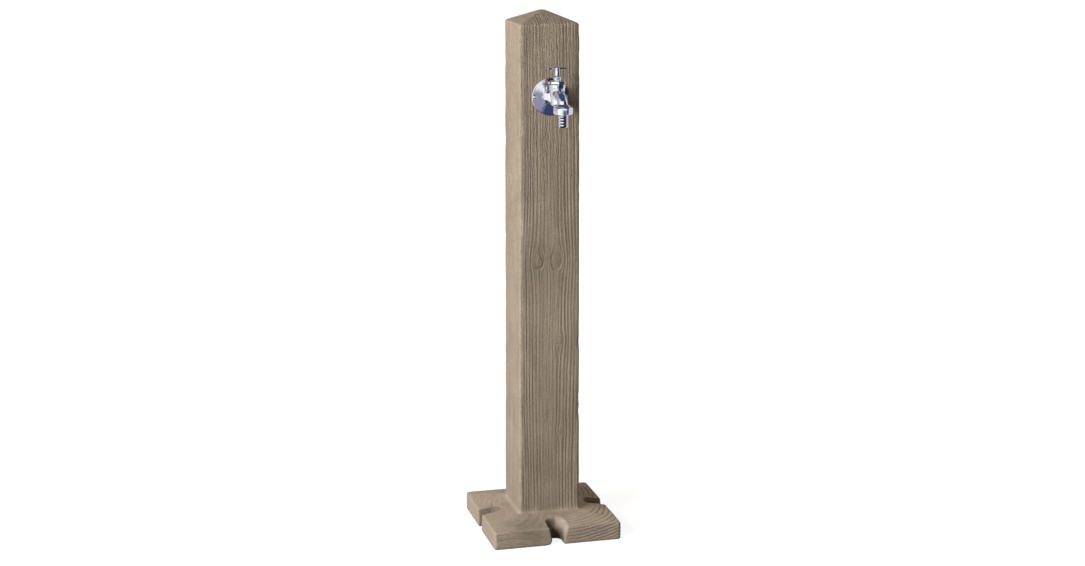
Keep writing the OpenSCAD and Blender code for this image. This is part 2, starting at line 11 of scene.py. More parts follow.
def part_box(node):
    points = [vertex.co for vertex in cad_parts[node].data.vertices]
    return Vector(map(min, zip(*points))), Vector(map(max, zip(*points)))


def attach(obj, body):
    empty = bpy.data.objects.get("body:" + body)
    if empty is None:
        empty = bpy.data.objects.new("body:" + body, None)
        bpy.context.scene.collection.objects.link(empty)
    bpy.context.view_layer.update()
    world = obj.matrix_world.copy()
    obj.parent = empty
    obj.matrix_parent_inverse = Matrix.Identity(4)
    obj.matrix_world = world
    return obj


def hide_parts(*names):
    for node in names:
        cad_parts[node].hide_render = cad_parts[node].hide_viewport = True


bl_info = {
    "name": "Garden Tap Post",
    "version": (1, 0, 0),
    "blender": (4, 5, 0),
    "location": "3D View > Sidebar > Tap Post",
    "description": "A wood-grain cast stone post with a chromed garden tap",
    "category": "Add Mesh",
}

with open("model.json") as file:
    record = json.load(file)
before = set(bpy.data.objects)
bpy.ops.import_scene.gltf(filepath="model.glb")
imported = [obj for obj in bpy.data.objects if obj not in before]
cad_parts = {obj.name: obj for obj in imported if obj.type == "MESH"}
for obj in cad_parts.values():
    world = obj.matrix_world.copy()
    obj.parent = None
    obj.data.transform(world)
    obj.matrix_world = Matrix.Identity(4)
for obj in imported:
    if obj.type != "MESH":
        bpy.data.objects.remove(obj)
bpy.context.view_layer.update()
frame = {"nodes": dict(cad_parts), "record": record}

MM = 0.001
TAP_NODES = ("rosette", "headwork", "gland_nut", "union_nut", "hose_tail", "t_handle", "handle_screw")
boxes = {node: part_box(node) for node in TAP_NODES}


# Sizes and colours


def centre_of(node, axis):
    low, high = boxes[node]
    return (low[axis] + high[axis]) / 2


def size_of(node, axis):
    low, high = boxes[node]
    return high[axis] - low[axis]


def ends(node):
    """Bottom and top of a node of the tap, in millimetres."""
    return [corner.z / MM for corner in boxes[node]]


def length(name, description, default):
    return FloatProperty(name=name, description=description, default=default, unit="LENGTH")


def colour(name, description, default):
    return FloatVectorProperty(name=name, description=description, default=default, subtype="COLOR",
                               min=0.0, max=1.0)


def angle(name, description, degrees):
    return FloatProperty(name=name, description=description, default=math.radians(degrees), subtype="ANGLE")


def light(name, description, default):
    return FloatProperty(name=name, description=description, default=default)


class PostSizes(bpy.types.PropertyGroup):
    """Sizes of the casting"""

    base_width: length("Base width", "Width of the post where it meets the foot", 0.119)
    eaves_width: length("Eaves width", "Width of the post under the eaves", 0.1145)
    height: length("Height", "Height from the ground to the tip", 1.0)
    cap_rise: length("Cap rise", "Rise of the cap from the eaves", 0.020)
    tip_width: length("Tip width", "Width of the worn tip of the cap", 0.014)
    edge_radius: length("Edge radius", "Radius of the upright edges and the eaves", 0.005)
    fillet: length("Fillet", "Radius between the post and the foot", 0.005)
    foot_width: length("Foot width", "Width of the square foot", 0.249)
    foot_corner: length("Foot corner", "Radius of the foot's upright corners", 0.006)
    foot_edge: length("Foot edge", "Radius of the worn edge round the foot's top", 0.0034)
    rim_height: length("Rim height", "Height of the foot's rim", 0.034)
    foot_rise: length("Foot rise", "Rise of the foot from its rim to the post", 0.011)
    chamfer: length("Chamfer", "Chamfer round the underside", 0.002)
    slot_width: length("Slot width", "Width of a slot at the ground", 0.022)
    slot_top_width: length("Slot top width", "Width of a slot at the post's foot", 0.037)
    slot_flare: length("Slot flare", "Height at which the slot's walls start to lean out", 0.014)
    slot_reach: length("Slot reach", "From the foot's edge to the centre of the slot's end", 0.024)
    slot_mouth: length("Slot mouth", "Radius of the corners at the mouth of a slot", 0.0045)
    duct_width: length("Duct width", "Width of the service duct", 0.054)
    duct_top: length("Duct top", "Height of the top of the duct", 0.8865)
    recess_width: length("Recess width", "Width of the recess in the underside", 0.096)
    recess_depth: length("Recess depth", "Depth of the recess in the underside", 0.030)


class GrainSizes(bpy.types.PropertyGroup):
    """The relief of the wood grain"""

    groove_depth: length("Groove depth", "Depth of a strong groove", 0.0011)
    groove_width: length("Groove width", "Half the width of a groove", 0.0015)
    swell: length("Swell", "Height of the slow waves of the faces", 0.0007)
    corner_wear: length("Corner wear", "How far the upright edges are worn back", 0.0006)
    seed: IntProperty(name="Seed", description="Changes the pattern of the grain", default=11, min=0)


class TapSizes(bpy.types.PropertyGroup):
    """Sizes of the tap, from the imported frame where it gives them"""

    inlet_height: length("Inlet height", "Height of the tap's inlet", centre_of("rosette", 2))
    wall: length("Wall", "From the post's axis to the back of the rosette", -boxes["rosette"][1].y)
    rosette_width: length("Rosette width", "Diameter of the rosette", size_of("rosette", 0))
    rosette_rim: length("Rosette rim", "Thickness of the rosette at its rim", 0.0026)
    rosette_middle: length("Rosette middle", "Thickness of the rosette's middle", size_of("rosette", 1))
    screw_place: length("Screw place", "Distance of a rosette screw from the middle", 0.0295)
    screw_head: length("Screw head", "Diameter of a rosette screw's head", 0.007)
    spindle_axis: length("Spindle axis", "From the post's axis to the spindle's", -centre_of("headwork", 1))
    outlet_axis: length("Outlet axis", "From the post's axis to the outlet's", -centre_of("union_nut", 1))
    barrel_width: length("Barrel width", "Diameter of the barrel at its rim", 0.030)
    barrel_foot: length("Barrel foot", "Diameter of the barrel at its foot", 0.024)
    barrel_rise: length("Barrel rise", "Height of the barrel's rim above the inlet", 0.0298)
    collar_width: length("Collar width", "Diameter of the collar at the inlet", 0.027)
    spout_width: length("Spout width", "Diameter of the spout", 0.017)
    hexagon: length("Hexagon", "Width of the headwork across its flats", 0.027)
    gland: length("Gland nut", "Width of the gland nut across its flats", 0.012)
    union: length("Union nut", "Width of the union nut across its flats", 0.032)
    crest_width: length("Crest width", "Diameter of the hose tail's crests", 0.018)
    root_width: length("Root width", "Diameter of the hose tail between its crests", 0.0156)
    crest_pitch: length("Crest pitch", "Distance from one crest to the next", 0.0053)
    tail_bore: length("Tail bore", "Bore of the hose tail", 0.012)
    crests: IntProperty(name="Crests", description="Number of crests on the hose tail", default=4, min=1)
    bar_length: length("Bar length", "Length of the handle's cross bar", size_of("t_handle", 0))


class Finishes(bpy.types.PropertyGroup):
    """Colours of the finishes"""

    stone: colour("Stone", "Cast stone", (0.362, 0.298, 0.224))
    groove: colour("Groove", "Cast stone in the grooves of the grain", (0.146, 0.113, 0.080))
    worn: colour("Worn stone", "Cast stone on worn edges", (0.48, 0.405, 0.31))
    chrome: colour("Chrome", "Chrome plate", (0.82, 0.83, 0.87))
    brass: colour("Brass", "Bare brass", (0.68, 0.50, 0.20))
    zinc: colour("Zinc", "Zinc coat on the steel", (0.52, 0.54, 0.55))
    nylon: colour("Nylon", "Nylon plugs", (0.33, 0.33, 0.34))
    rubber: colour("Rubber", "Rubber washers", (0.022, 0.022, 0.025))
    fibre: colour("Fibre", "Fibre ring", (0.12, 0.055, 0.04))
    curl_pitch: length("Curl pitch", "Distance between the wavy lines of the grain on the post", 0.0046)
    ring_pitch: length("Ring pitch", "Distance between the grooves of the grain on the foot", 0.0122)


class StudioSizes(bpy.types.PropertyGroup):
    """The camera and the lamps"""

    camera_place: FloatVectorProperty(name="Camera", description="Place of the camera",
                                      default=(-0.9431, -3.6248, 1.3573), subtype="XYZ", unit="LENGTH")
    camera_yaw: angle("Yaw", "Turn of the camera about the upright", -14.601)
    camera_pitch: angle("Pitch", "Downward tilt of the camera", 13.149)
    camera_lens: FloatProperty(name="Lens", description="Focal length of the camera", default=67.098,
                               unit="CAMERA")
    key: light("Key light", "Light of the front lamp on the object", 0.63)
    side: light("Side light", "Light of the left lamp on the object", 0.94)
    back: light("Back light", "Light of the lamp behind the object", 0.5)
    ambient: light("Ambient", "Light from all round", 0.118)


class Millimetres:
    """Reads the lengths of a group of settings in millimetres."""

    def __init__(self, group):
        self.group = group

    def __getattr__(self, name):
        value = getattr(self.group, name)
        return value if isinstance(value, int) else value / MM


# Skins, turned pieces and castings

# Points closer than this, in millimetres, are one point
SAME_POINT = 1e-3
SHARP_DEGREES = 32

# Marks a ring that runs along a hexagon's flats
FLATS = None


class Skin:
    """A skin that starts as a circle of edges and grows one ring at a time."""

    def __init__(self, bm, capped=False):
        self.bm, self.capped, self.verts = bm, capped, []

    def edges(self):
        pairs = zip(self.verts, self.verts[1:] + self.verts[:1])
        return [next(e for e in v.link_edges if e.other_vert(v) == after) for v, after in pairs]

    def move(self, points):
        for vert, point in zip(self.verts, points):
            vert.co = point

    def grow(self, points):
        if not self.verts:
            made = bmesh.ops.create_circle(self.bm, cap_ends=False, radius=1.0, segments=len(points))
            self.verts = list(made["verts"])
            self.move(points)
            if self.capped:
                self.close()
            return
        made = bmesh.ops.extrude_edge_only(self.bm, edges=self.edges())
        fresh = {g for g in made["geom"] if isinstance(g, bmesh.types.BMVert)}
        self.verts = [next(e.other_vert(v) for e in v.link_edges if e.other_vert(v) in fresh)
                      for v in self.verts]
        self.move(points)

    def split(self, points):
        """Doubles the number of columns from here on."""
        self.bm.verts.index_update()
        places = [v.index for v in self.verts]
        made = bmesh.ops.subdivide_edges(self.bm, edges=self.edges(), cuts=1)["geom_inner"]
        self.bm.verts.ensure_lookup_table()
        kept = [self.bm.verts[i] for i in places]
        halves = {frozenset(e.other_vert(g) for e in g.link_edges): g
                  for g in made if isinstance(g, bmesh.types.BMVert)}
        self.verts = [g for v, after in zip(kept, kept[1:] + kept[:1])
                      for g in (v, halves[frozenset((v, after))])]
        self.move(points)

    def close(self):
        bmesh.ops.contextual_create(self.bm, geom=self.edges())


def shade_smooth(bm):
    bmesh.ops.recalc_face_normals(bm, faces=bm.faces)
    for face in bm.faces:
        face.smooth = True


def sharp_edges(bm, degrees):
    return [e for e in bm.edges if len(e.link_faces) == 2 and e.calc_face_angle(0.0) > math.radians(degrees)]


def in_metres(bm):
    """Turns a piece made in millimetres into metres and marks its sharp edges."""
    bmesh.ops.scale(bm, vec=(MM, MM, MM), verts=bm.verts)
    bmesh.ops.remove_doubles(bm, verts=bm.verts, dist=2e-6)
    shade_smooth(bm)
    for edge in sharp_edges(bm, SHARP_DEGREES):
        edge.smooth = False
    return bm


def soften(bm, width, degrees, segments=2):
    """Bevels the edges that are sharper than an angle."""
    bmesh.ops.bevel(bm, geom=sharp_edges(bm, degrees), offset=width, offset_type="OFFSET", segments=segments,
                    profile=0.5, affect="EDGES", clamp_overlap=True, material=-1)
    return bm


def new_object(name, bm):
    mesh = bpy.data.meshes.new(name)
    bm.to_mesh(mesh)
    bm.free()
    piece = bpy.data.objects.new(name, mesh)
    bpy.context.scene.collection.objects.link(piece)
    return piece


def lying(place, axis):
    """Moves what stands upright at the origin to place, along an axis."""
    turns = {"Z": (0, "X"), "Y": (math.pi / 2, "X"), "X": (math.pi / 2, "Y")}
    angle, about = turns[axis]
    return Matrix.Translation(place) @ Matrix.Rotation(angle, 4, about)


def turned(bm, profile, place, axis="Z", steps=96, closed=False):
    """Turns a profile of radius and height pairs round an axis; a closed profile goes round a bore."""
    before = set(bm.verts)
    verts = [bm.verts.new((radius, 0.0, height)) for radius, height in profile]
    edges = [bm.edges.new(pair) for pair in zip(verts, verts[1:] + verts[:1] if closed else verts[1:])]
    bmesh.ops.spin(bm, geom=verts + edges, cent=(0, 0, 0), axis=(0, 0, 1), angle=2 * math.pi, steps=steps,
                   use_merge=True)
    bmesh.ops.remove_doubles(bm, verts=[v for v in bm.verts if v not in before], dist=SAME_POINT)
    bmesh.ops.transform(bm, matrix=lying(place, axis), verts=[v for v in bm.verts if v not in before])


def swept(bm, centres, radii, steps=48):
    """A round bar with closed ends along points of the plane x = 0."""
    skin = Skin(bm, capped=True)
    side = Vector((1, 0, 0))
    turns = np.arange(steps) * 2 * math.pi / steps
    for i, (centre, radius) in enumerate(zip(centres, radii)):
        before, after = Vector(centres[max(i - 1, 0)]), Vector(centres[min(i + 1, len(centres) - 1)])
        up = (after - before).normalized().cross(side)
        skin.grow([Vector(centre) + radius * (math.cos(a) * side + math.sin(a) * up) for a in turns])
    skin.close()


def nut_shape(y, flats, rings, turn=0.0, trim=0.35, steps=96):
    """A hexagon with a bore. A ring is a radius and height, or FLATS, a height and its corners' lift."""
    angle = turn + np.arange(steps) * 2 * math.pi / steps
    from_flat = (angle - turn + math.pi / 6) % (math.pi / 3) - math.pi / 6
    corner = flats / 2 / math.cos(math.pi / 6) ** 0.88 - trim
    reach = np.minimum(flats / 2 / np.cos(from_flat) ** 0.88, corner)
    bm = bmesh.new()
    skin = Skin(bm)
    for radius, height, *lift in rings + rings[:1]:
        distance = reach if lift else np.full_like(angle, radius)
        z = height + sum(lift) * (reach - flats / 2 * 0.985)
        skin.grow(np.stack([distance * np.cos(angle), y + distance * np.sin(angle), z], 1))
    bmesh.ops.remove_doubles(bm, verts=bm.verts, dist=SAME_POINT)
    return bm


def closed_shape(make, *sizes):
    """A separate closed shape in millimetres, for joining and cutting."""
    bm = bmesh.new()
    make(bm, *sizes)
    bmesh.ops.remove_doubles(bm, verts=bm.verts, dist=SAME_POINT)
    bmesh.ops.recalc_face_normals(bm, faces=bm.faces)
    return new_object("shape", bm)


def combine(shapes, holes, voxel=None):
    """Joins shapes and cuts holes; with a voxel, into one skin with soft inner corners, as castings have."""
    piece = shapes[0]
    for kind, others in (("UNION", shapes[1:]), ("DIFFERENCE", holes)):
        for other in others:
            step = piece.modifiers.new(kind, "BOOLEAN")
            step.operation, step.solver, step.object = kind, "EXACT", other
    if voxel:
        skin = piece.modifiers.new("skin", "REMESH")
        skin.mode, skin.voxel_size = "VOXEL", voxel
        soft = piece.modifiers.new("soft", "SMOOTH")
        soft.factor, soft.iterations = 0.5, 5
    mesh = bpy.data.meshes.new_from_object(piece.evaluated_get(bpy.context.evaluated_depsgraph_get()))
    for used in shapes + holes:
        bpy.data.objects.remove(used)
    return mesh


def add_mesh(bm, mesh):
    bm.from_mesh(mesh)
    bpy.data.meshes.remove(mesh)
    return bm


# The casting

SIDE_COLUMNS = 100
MIDDLE_COLUMN = SIDE_COLUMNS / 2
CORNER_COLUMNS = 4
QUARTERS = (0.25, 0.5, 0.75, 1.0)

# Columns of the foot, counted from the middle of a side, where the slot's mouth and its round end lie
MOUTH_AWAY = (15, 21)
SLOT_ROUND_AWAY = 10

# In millimetres: a side's length in the grain's map, the corner radius of the duct and the recess,
# and the half width from which a ring of the post is in the fillet
SIDE_RUN = 119.0
HOLLOW_CORNER = 1.5
FILLET_FROM = 62

# Grooves: the first and last place across a side, and the smallest and largest step to the next
GROOVE_PLACES = (-56.5, 57.5)
GROOVE_STEPS = (4.9, 7.0)

# Rows of the post, from, to and step, which are close together at the knots
ROWS = [(47.5, 192, 11.0), (192, 252, 5.0), (252, 360, 11.0), (360, 394, 3.4), (394, 512, 11.0),
        (512, 572, 1.75), (572, 758, 11.0), (758, 788, 3.6), (788, 975, 11.0)]

# Knots: side of the post, place across and height, half width, stretch along the grain,
# and whether its foot is cut flat
KNOTS = [
    (0, 12.6, 539.5, 10.5, 1.7, False),
    (0, -20.0, 541.5, 9.0, 1.95, True),
    (0, 20.0, 382.0, 5.6, 1.8, False),
    (0, 16.5, 366.0, 2.6, 1.8, False),
    (0, -5.0, 242.0, 3.0, 2.2, False),
    (0, 22.8, 203.0, 4.0, 2.0, False),
    (0, -4.6, 772.0, 3.6, 2.0, False),
    (0, 18.0, 779.0, 3.0, 2.2, False),
    (1, -17.0, 640.0, 8.0, 2.2, False),
    (1, 14.0, 300.0, 5.0, 2.0, False),
    (2, 8.0, 470.0, 8.5, 2.0, False),
    (2, -22.0, 720.0, 5.0, 2.4, False),
    (3, 10.0, 560.0, 5.0, 2.3, False),
]

# Strength of the grooves across each side: (place, strength) pairs with straight runs between
GROOVE_STRENGTH = [
    [(-60, 0.9), (-40, 1.0), (-22, 0.85), (-13, 0.3), (10, 0.26), (16, 0.75), (34, 0.95), (60, 0.95)],
    [(-60, 0.85), (-30, 0.7), (0, 0.5), (30, 0.9), (60, 0.8)],
    [(-60, 0.8), (-20, 0.9), (5, 0.4), (30, 0.8), (60, 0.9)],
    [(-60, 0.42), (-20, 0.30), (10, 0.50), (40, 0.28), (60, 0.42)],
]

# Dark patches of the stone: middle, reach and strength
STAINS = [
    ((-0.050, -0.110, 0.040), 0.075, 0.50),
    ((0.005, -0.066, 0.050), 0.045, 0.36),
    ((0.050, -0.070, 0.048), 0.030, 0.22),
    ((-0.066, -0.010, 0.050), 0.050, 0.16),
    ((-0.030, -0.060, 0.150), 0.060, 0.30),
    ((-0.010, -0.060, 0.520), 0.120, 0.32),
    ((0.000, -0.055, 0.965), 0.040, 0.15),
    ((-0.100, 0.000, 0.042), 0.040, 0.15),
    ((0.060, 0.020, 0.250), 0.140, 0.25),
    ((0.000, 0.060, 0.600), 0.180, 0.25),
]

# Grain of the foot's quarters: middle of the rings (x, y), slope with height, strength,
# and radius of the first strong ring
FOOT_GRAIN = {
    (1, -1): (14.0, -6.0, -1.9, 1.0, 96.0),
    (-1, -1): (-90.0, -30.0, 1.1, 0.25, 0.0),
    (-1, 1): (-30.0, 10.0, -1.2, 0.3, 0.0),
    (1, 1): (-10.0, 70.0, -1.4, 0.9, 80.0),
}


def smooth(value, low, high):
    t = np.clip((value - low) / (high - low), 0.0, 1.0)
    return t * t * (3 - 2 * t)


def hump(away, width, power=2):
    return np.exp(-np.abs(away / width) ** power)


def wander(rng, shortest, longest, count=5):
    """A slow random curve between -1 and 1, the same for the same generator."""
    run = rng.uniform(shortest, longest, count)
    start = rng.uniform(0, 2 * math.pi, count)
    share = rng.uniform(0.5, 1.0, count)
    share /= share.sum()
    return lambda x: sum(a * np.sin(2 * math.pi * x / b + c) for a, b, c in zip(share, run, start))


def groove_lines(rng, strength):
    """Grooves across a side: place, strength, width and how each wanders and fades along the grain."""
    lines = []
    places, strengths = zip(*strength)
    place, last = GROOVE_PLACES
    while place < last:
        power = float(np.interp(place, places, strengths))
        lines.append((place, power * rng.uniform(0.65, 1.0), rng.uniform(0.85, 1.2),
                      wander(rng, 160, 620), wander(rng, 90, 700)))
        place += rng.uniform(*GROOVE_STEPS) * (1.0 + 0.5 * max(0.0, 0.6 - power))
    return lines


def knots_on(side, across, height):
    """What the knots do to the grain of a side.

    Gives the grain's number across, bent round them, how far a point is inside one, its ring, and the relief
    of their raised middles, sunk rims and cracks.
    """
    number, inside, ring, relief = across + 0.0 * height, 0.0 * across, 0.0 * across + 3.0, 0.0 * across
    for at_side, place, z, radius, stretch, flat in KNOTS:
        if at_side != side:
            continue
        du, dz = across - place, (height - z) / stretch
        away, turn, power = np.hypot(du, dz), np.arctan2(dz, du), min(1.0, radius / 7.0)
        number = number - du * np.minimum(radius ** 2 / np.maximum(away ** 2, 1e-6), 1.0)
        inside = np.maximum(inside, 1 - smooth(away / radius, 0.75, 1.05))
        ring = np.minimum(ring, away / radius)
        relief += 0.55 * power * hump(away, 0.75 * radius)
        relief -= 0.75 * power * (0.55 + 0.45 * np.cos(turn + 0.7)) * hump(away - radius, 1.1)
        relief -= 0.35 * power * (0.5 + 0.5 * np.cos(away * 2 * math.pi / 2.9 + turn)) * (away < radius)
        if flat:
            relief -= 1.5 * hump(height - z + 0.93 * radius * stretch, 1.5) * hump(du, 0.85 * radius, 4)
            side_line = 0.75 * radius * (1 - smooth(height, z - 6, z + 20))
            relief -= 0.9 * hump(du - side_line, 1.2) * hump(height - z - 8, 13, 4)
    return number, inside, ring, relief


def side_places(column, half_width, radius):
    """Across, out and the outward direction of the columns of one side of a rounded square."""
    away = np.abs(column - MIDDLE_COLUMN)
    hand = np.sign(column - MIDDLE_COLUMN)
    flat = MIDDLE_COLUMN - CORNER_COLUMNS
    run = np.minimum(away / flat, 1.0) * (half_width - radius)
    turn = np.maximum(away - flat, 0.0) / CORNER_COLUMNS * math.pi / 4
    out = half_width - radius + radius * np.cos(turn)
    return hand * (run + radius * np.sin(turn)), out, hand * np.sin(turn), np.cos(turn)


def foot_top(post):
    return post.rim_height + post.foot_rise


def foot_places(column, inset, height, mouth, post):
    """Across, out and the outward direction of the columns of one side of the foot, with its slot."""
    half, corner = post.foot_width / 2, post.foot_corner
    lean = np.clip((height - post.slot_flare) / (foot_top(post) - post.slot_flare), 0.0, 1.0)
    slot = (post.slot_width + (post.slot_top_width - post.slot_width) * lean) / 2
    away = np.abs(column - MIDDLE_COLUMN)
    hand = np.sign(column - MIDDLE_COLUMN)
    flat = MIDDLE_COLUMN - CORNER_COLUMNS
    near, far = MOUTH_AWAY

    def share(first, last):
        return np.clip((away - first) / (last - first), 0, 1)

    def arc(part, angle):
        return np.sin(part * angle), np.cos(part * angle)

    corner_sin, corner_cos = arc(share(flat, flat + CORNER_COLUMNS), math.pi / 4)
    mouth_sin, mouth_cos = arc(share(far, near), math.pi / 2)
    end_sin, end_cos = arc(share(SLOT_ROUND_AWAY, 0), math.pi / 2)
    curve = np.maximum(mouth - inset, 0.2)
    centre = half - post.slot_reach
    zero = 0.0 * away
    parts = [
        (half - corner + (corner - inset) * corner_sin, half - corner + (corner - inset) * corner_cos,
         corner_sin, corner_cos),
        (slot + mouth + (half - corner - slot - mouth) * share(far, flat), half - inset + zero,
         zero, zero + 1),
        (slot + mouth - curve * mouth_sin, half - mouth + curve * mouth_cos, -mouth_sin, mouth_cos),
        (slot + inset + zero, half - mouth + (centre - half + mouth) * share(near, SLOT_ROUND_AWAY),
         zero - 1, zero),
        ((slot + inset) * end_cos, centre - (slot + inset) * end_sin, -end_cos, end_sin),
    ]
    where = [away >= limit for limit in (flat, far, near, SLOT_ROUND_AWAY, 0)]
    across, out, side_way, out_way = (np.select(where, values) for values in zip(*parts))
    return hand * across, out, hand * side_way, out_way


def to_side(side, across, out):
    """Turns a place on the front side to another side; a side's number counts quarter turns."""
    turn = side * math.pi / 2
    return across * np.cos(turn) + out * np.sin(turn), across * np.sin(turn) - out * np.cos(turn)


def foot_height(x, y, post):
    """Height of the foot's four slopes."""
    base = post.base_width / 2
    slope = post.foot_rise / (post.foot_width / 2 - base)
    far = (np.abs(x) ** 22 + np.abs(y) ** 22) ** (1 / 22)
    return foot_top(post) - slope * np.maximum(far - base, 0.0)


class CastingRelief:
    """The wood grain, wear and waves of the casting, in millimetres."""

    def __init__(self, grain, tap):
        self.grain, self.tap_height = grain, tap.inlet_height
        self.lines = [groove_lines(np.random.default_rng(grain.seed + side), strength)
                      for side, strength in enumerate(GROOVE_STRENGTH)]
        rng = np.random.default_rng(grain.seed + 40)
        self.waves = [[(rng.uniform(60, 150), rng.uniform(60, 240) * rng.choice([-1, 1]),
                        rng.uniform(0, 6.28), rng.uniform(0.5, 1)) for _ in range(7)] for _ in range(5)]
        self.drifts = [wander(rng, 320, 1300) for _ in range(4)]
        self.corner_waves = [(wander(rng, 30, 160), wander(rng, 9, 34)) for _ in range(4)]
        self.chips = [[(rng.uniform(60, 985), rng.uniform(3, 11), rng.uniform(0.5, 1.7)) for _ in range(16)]
                      for _ in range(4)]
        self.rim_waves = (wander(rng, 24, 90), wander(rng, 7, 22))

    def wave(self, which, u, v):
        waves = self.waves[which]
        total = sum(share for *_, share in waves)
        return sum(share * np.sin(2 * math.pi * (u / a + v / b) + c) for a, b, c, share in waves) / total

    def worn_edge(self, corner, height):
        long, short = self.corner_waves[corner]
        worn = -self.grain.corner_wear * (0.55 + 0.45 * long(height) + 0.35 * np.abs(short(height)))
        return worn - sum(depth * hump(height - place, run) for place, run, depth in self.chips[corner])

    def on_side(self, side, column, across, height):
        """Relief, groove mask, knot ring, wear mask and grain number on one side of the post."""
        number, inside, ring, knots = knots_on(side, across, height)
        number = number + 2.4 * self.drifts[side](height + 2.5 * across)
        grooves = np.zeros_like(number)
        for place, power, width, drift, fade in self.lines[side]:
            strength = power * np.clip(0.78 + 0.6 * fade(height), 0.0, 1.0)
            grooves += strength * hump(number - place - 0.8 * drift(height), width * self.grain.groove_width)
        grooves *= 1 - inside
        cut = self.grain.groove_depth * grooves
        relief = self.grain.swell * self.wave(side, across, height) - cut + knots
        if side == 0:
            free = smooth(np.hypot(across, height - self.tap_height), 34, 56)
            relief = free * relief - (1 - free) * 0.8 * cut
        away = np.abs(column - MIDDLE_COLUMN)
        edge = smooth(away, 42, 50)
        corner = np.where(column < MIDDLE_COLUMN, self.worn_edge(side, height),
                          self.worn_edge((side + 1) % 4, height))
        corner = corner + 0.5 * self.grain.swell * self.wave(4, height * 0.6, height)
        mask = np.clip(grooves, 0, 1) * (1 - 0.8 * edge)
        return (1 - edge) * relief + edge * corner, mask, ring, smooth(away, 44.5, 49.5), number

    def on_foot(self, x, y, z, upward):
        """Relief and strength of the grain on the foot; upward is 1 on its top and 0 on its walls."""
        band = np.zeros_like(x)
        for quarter, (cx, cy, _, strength, first) in FOOT_GRAIN.items():
            here = (np.sign(x + 1e-9) == quarter[0]) & (np.sign(y + 1e-9) == quarter[1])
            inner = smooth(np.hypot(x - cx, y - cy), first - 9, first + 1)
            band = np.where(here, strength * (0.15 + 0.85 * inner), band)
        far = np.maximum(np.abs(x), np.abs(y))
        near_slot = np.where(far > 68, np.minimum(np.abs(x), np.abs(y)), 99.0)
        band = band * smooth(near_slot, 17, 30) * smooth(z, 1, 5) * smooth(far, 62, 76)
        rough = self.wave(4, x * 1.7, y * 1.7 + z) + 0.5 * self.wave(3, x * 5.1, y * 5.3 - z * 2)
        top = 0.5 * rough * smooth(far, 61, 68)
        wall = np.minimum(-0.35 - 0.35 * rough, 0)
        return (upward * top + (1 - upward) * wall) * smooth(z, 0, 4), band


def post_rings(post):
    """Half width, corner radius, height, upward tilt and relief share of each ring, from the tip down."""
    base, eaves, tip = post.base_width / 2, post.eaves_width / 2, post.tip_width / 2
    edge, fillet, top = post.edge_radius, post.fillet, post.height
    low_eaves = top - post.cap_rise - edge
    full = math.pi / 2 - math.atan2(post.cap_rise, eaves - tip)
    rings = [(tip * 0.12, 0.5, top, math.pi / 2, 0.0), (tip * 0.5, 1.2, top - 0.02, math.pi / 2, 0.3),
             (tip * 0.82, 1.8, top - 0.25, 1.4, 0.5)]

    def round_eaves(turn):
        return eaves - edge + edge * math.cos(turn), low_eaves + edge * math.sin(turn)

    out, high = round_eaves(full)
    for share in np.linspace(0.0, 1.0, 12):
        rings.append((tip + (out - tip) * share, 2.0 + (edge - 2.0) * share,
                      top - 0.7 + (high - top + 0.7) * share, full, 0.55))
    for share in (0.75, 0.5, 0.25):
        out, high = round_eaves(full * share)
        rings.append((out, edge, high, full * share, 0.8))
    rows = [z for low, high, step in ROWS
            for z in np.linspace(low, high, round((high - low) / step), endpoint=False)]
    foot = foot_top(post)
    for z in [low_eaves] + [z for z in reversed(rows) if z > foot + fillet - 0.5]:
        rings.append((eaves + (base - eaves) * (low_eaves - z) / (low_eaves - foot), edge, z, 0.0, 1.0))
    for share in QUARTERS:
        turn = share * math.pi / 2
        rings.append((base + fillet - fillet * math.cos(turn), edge + fillet * (1 - math.cos(turn)),
                      foot + fillet - 0.5 - fillet * math.sin(turn), turn, 0.8 - 0.6 * share))
    return rings


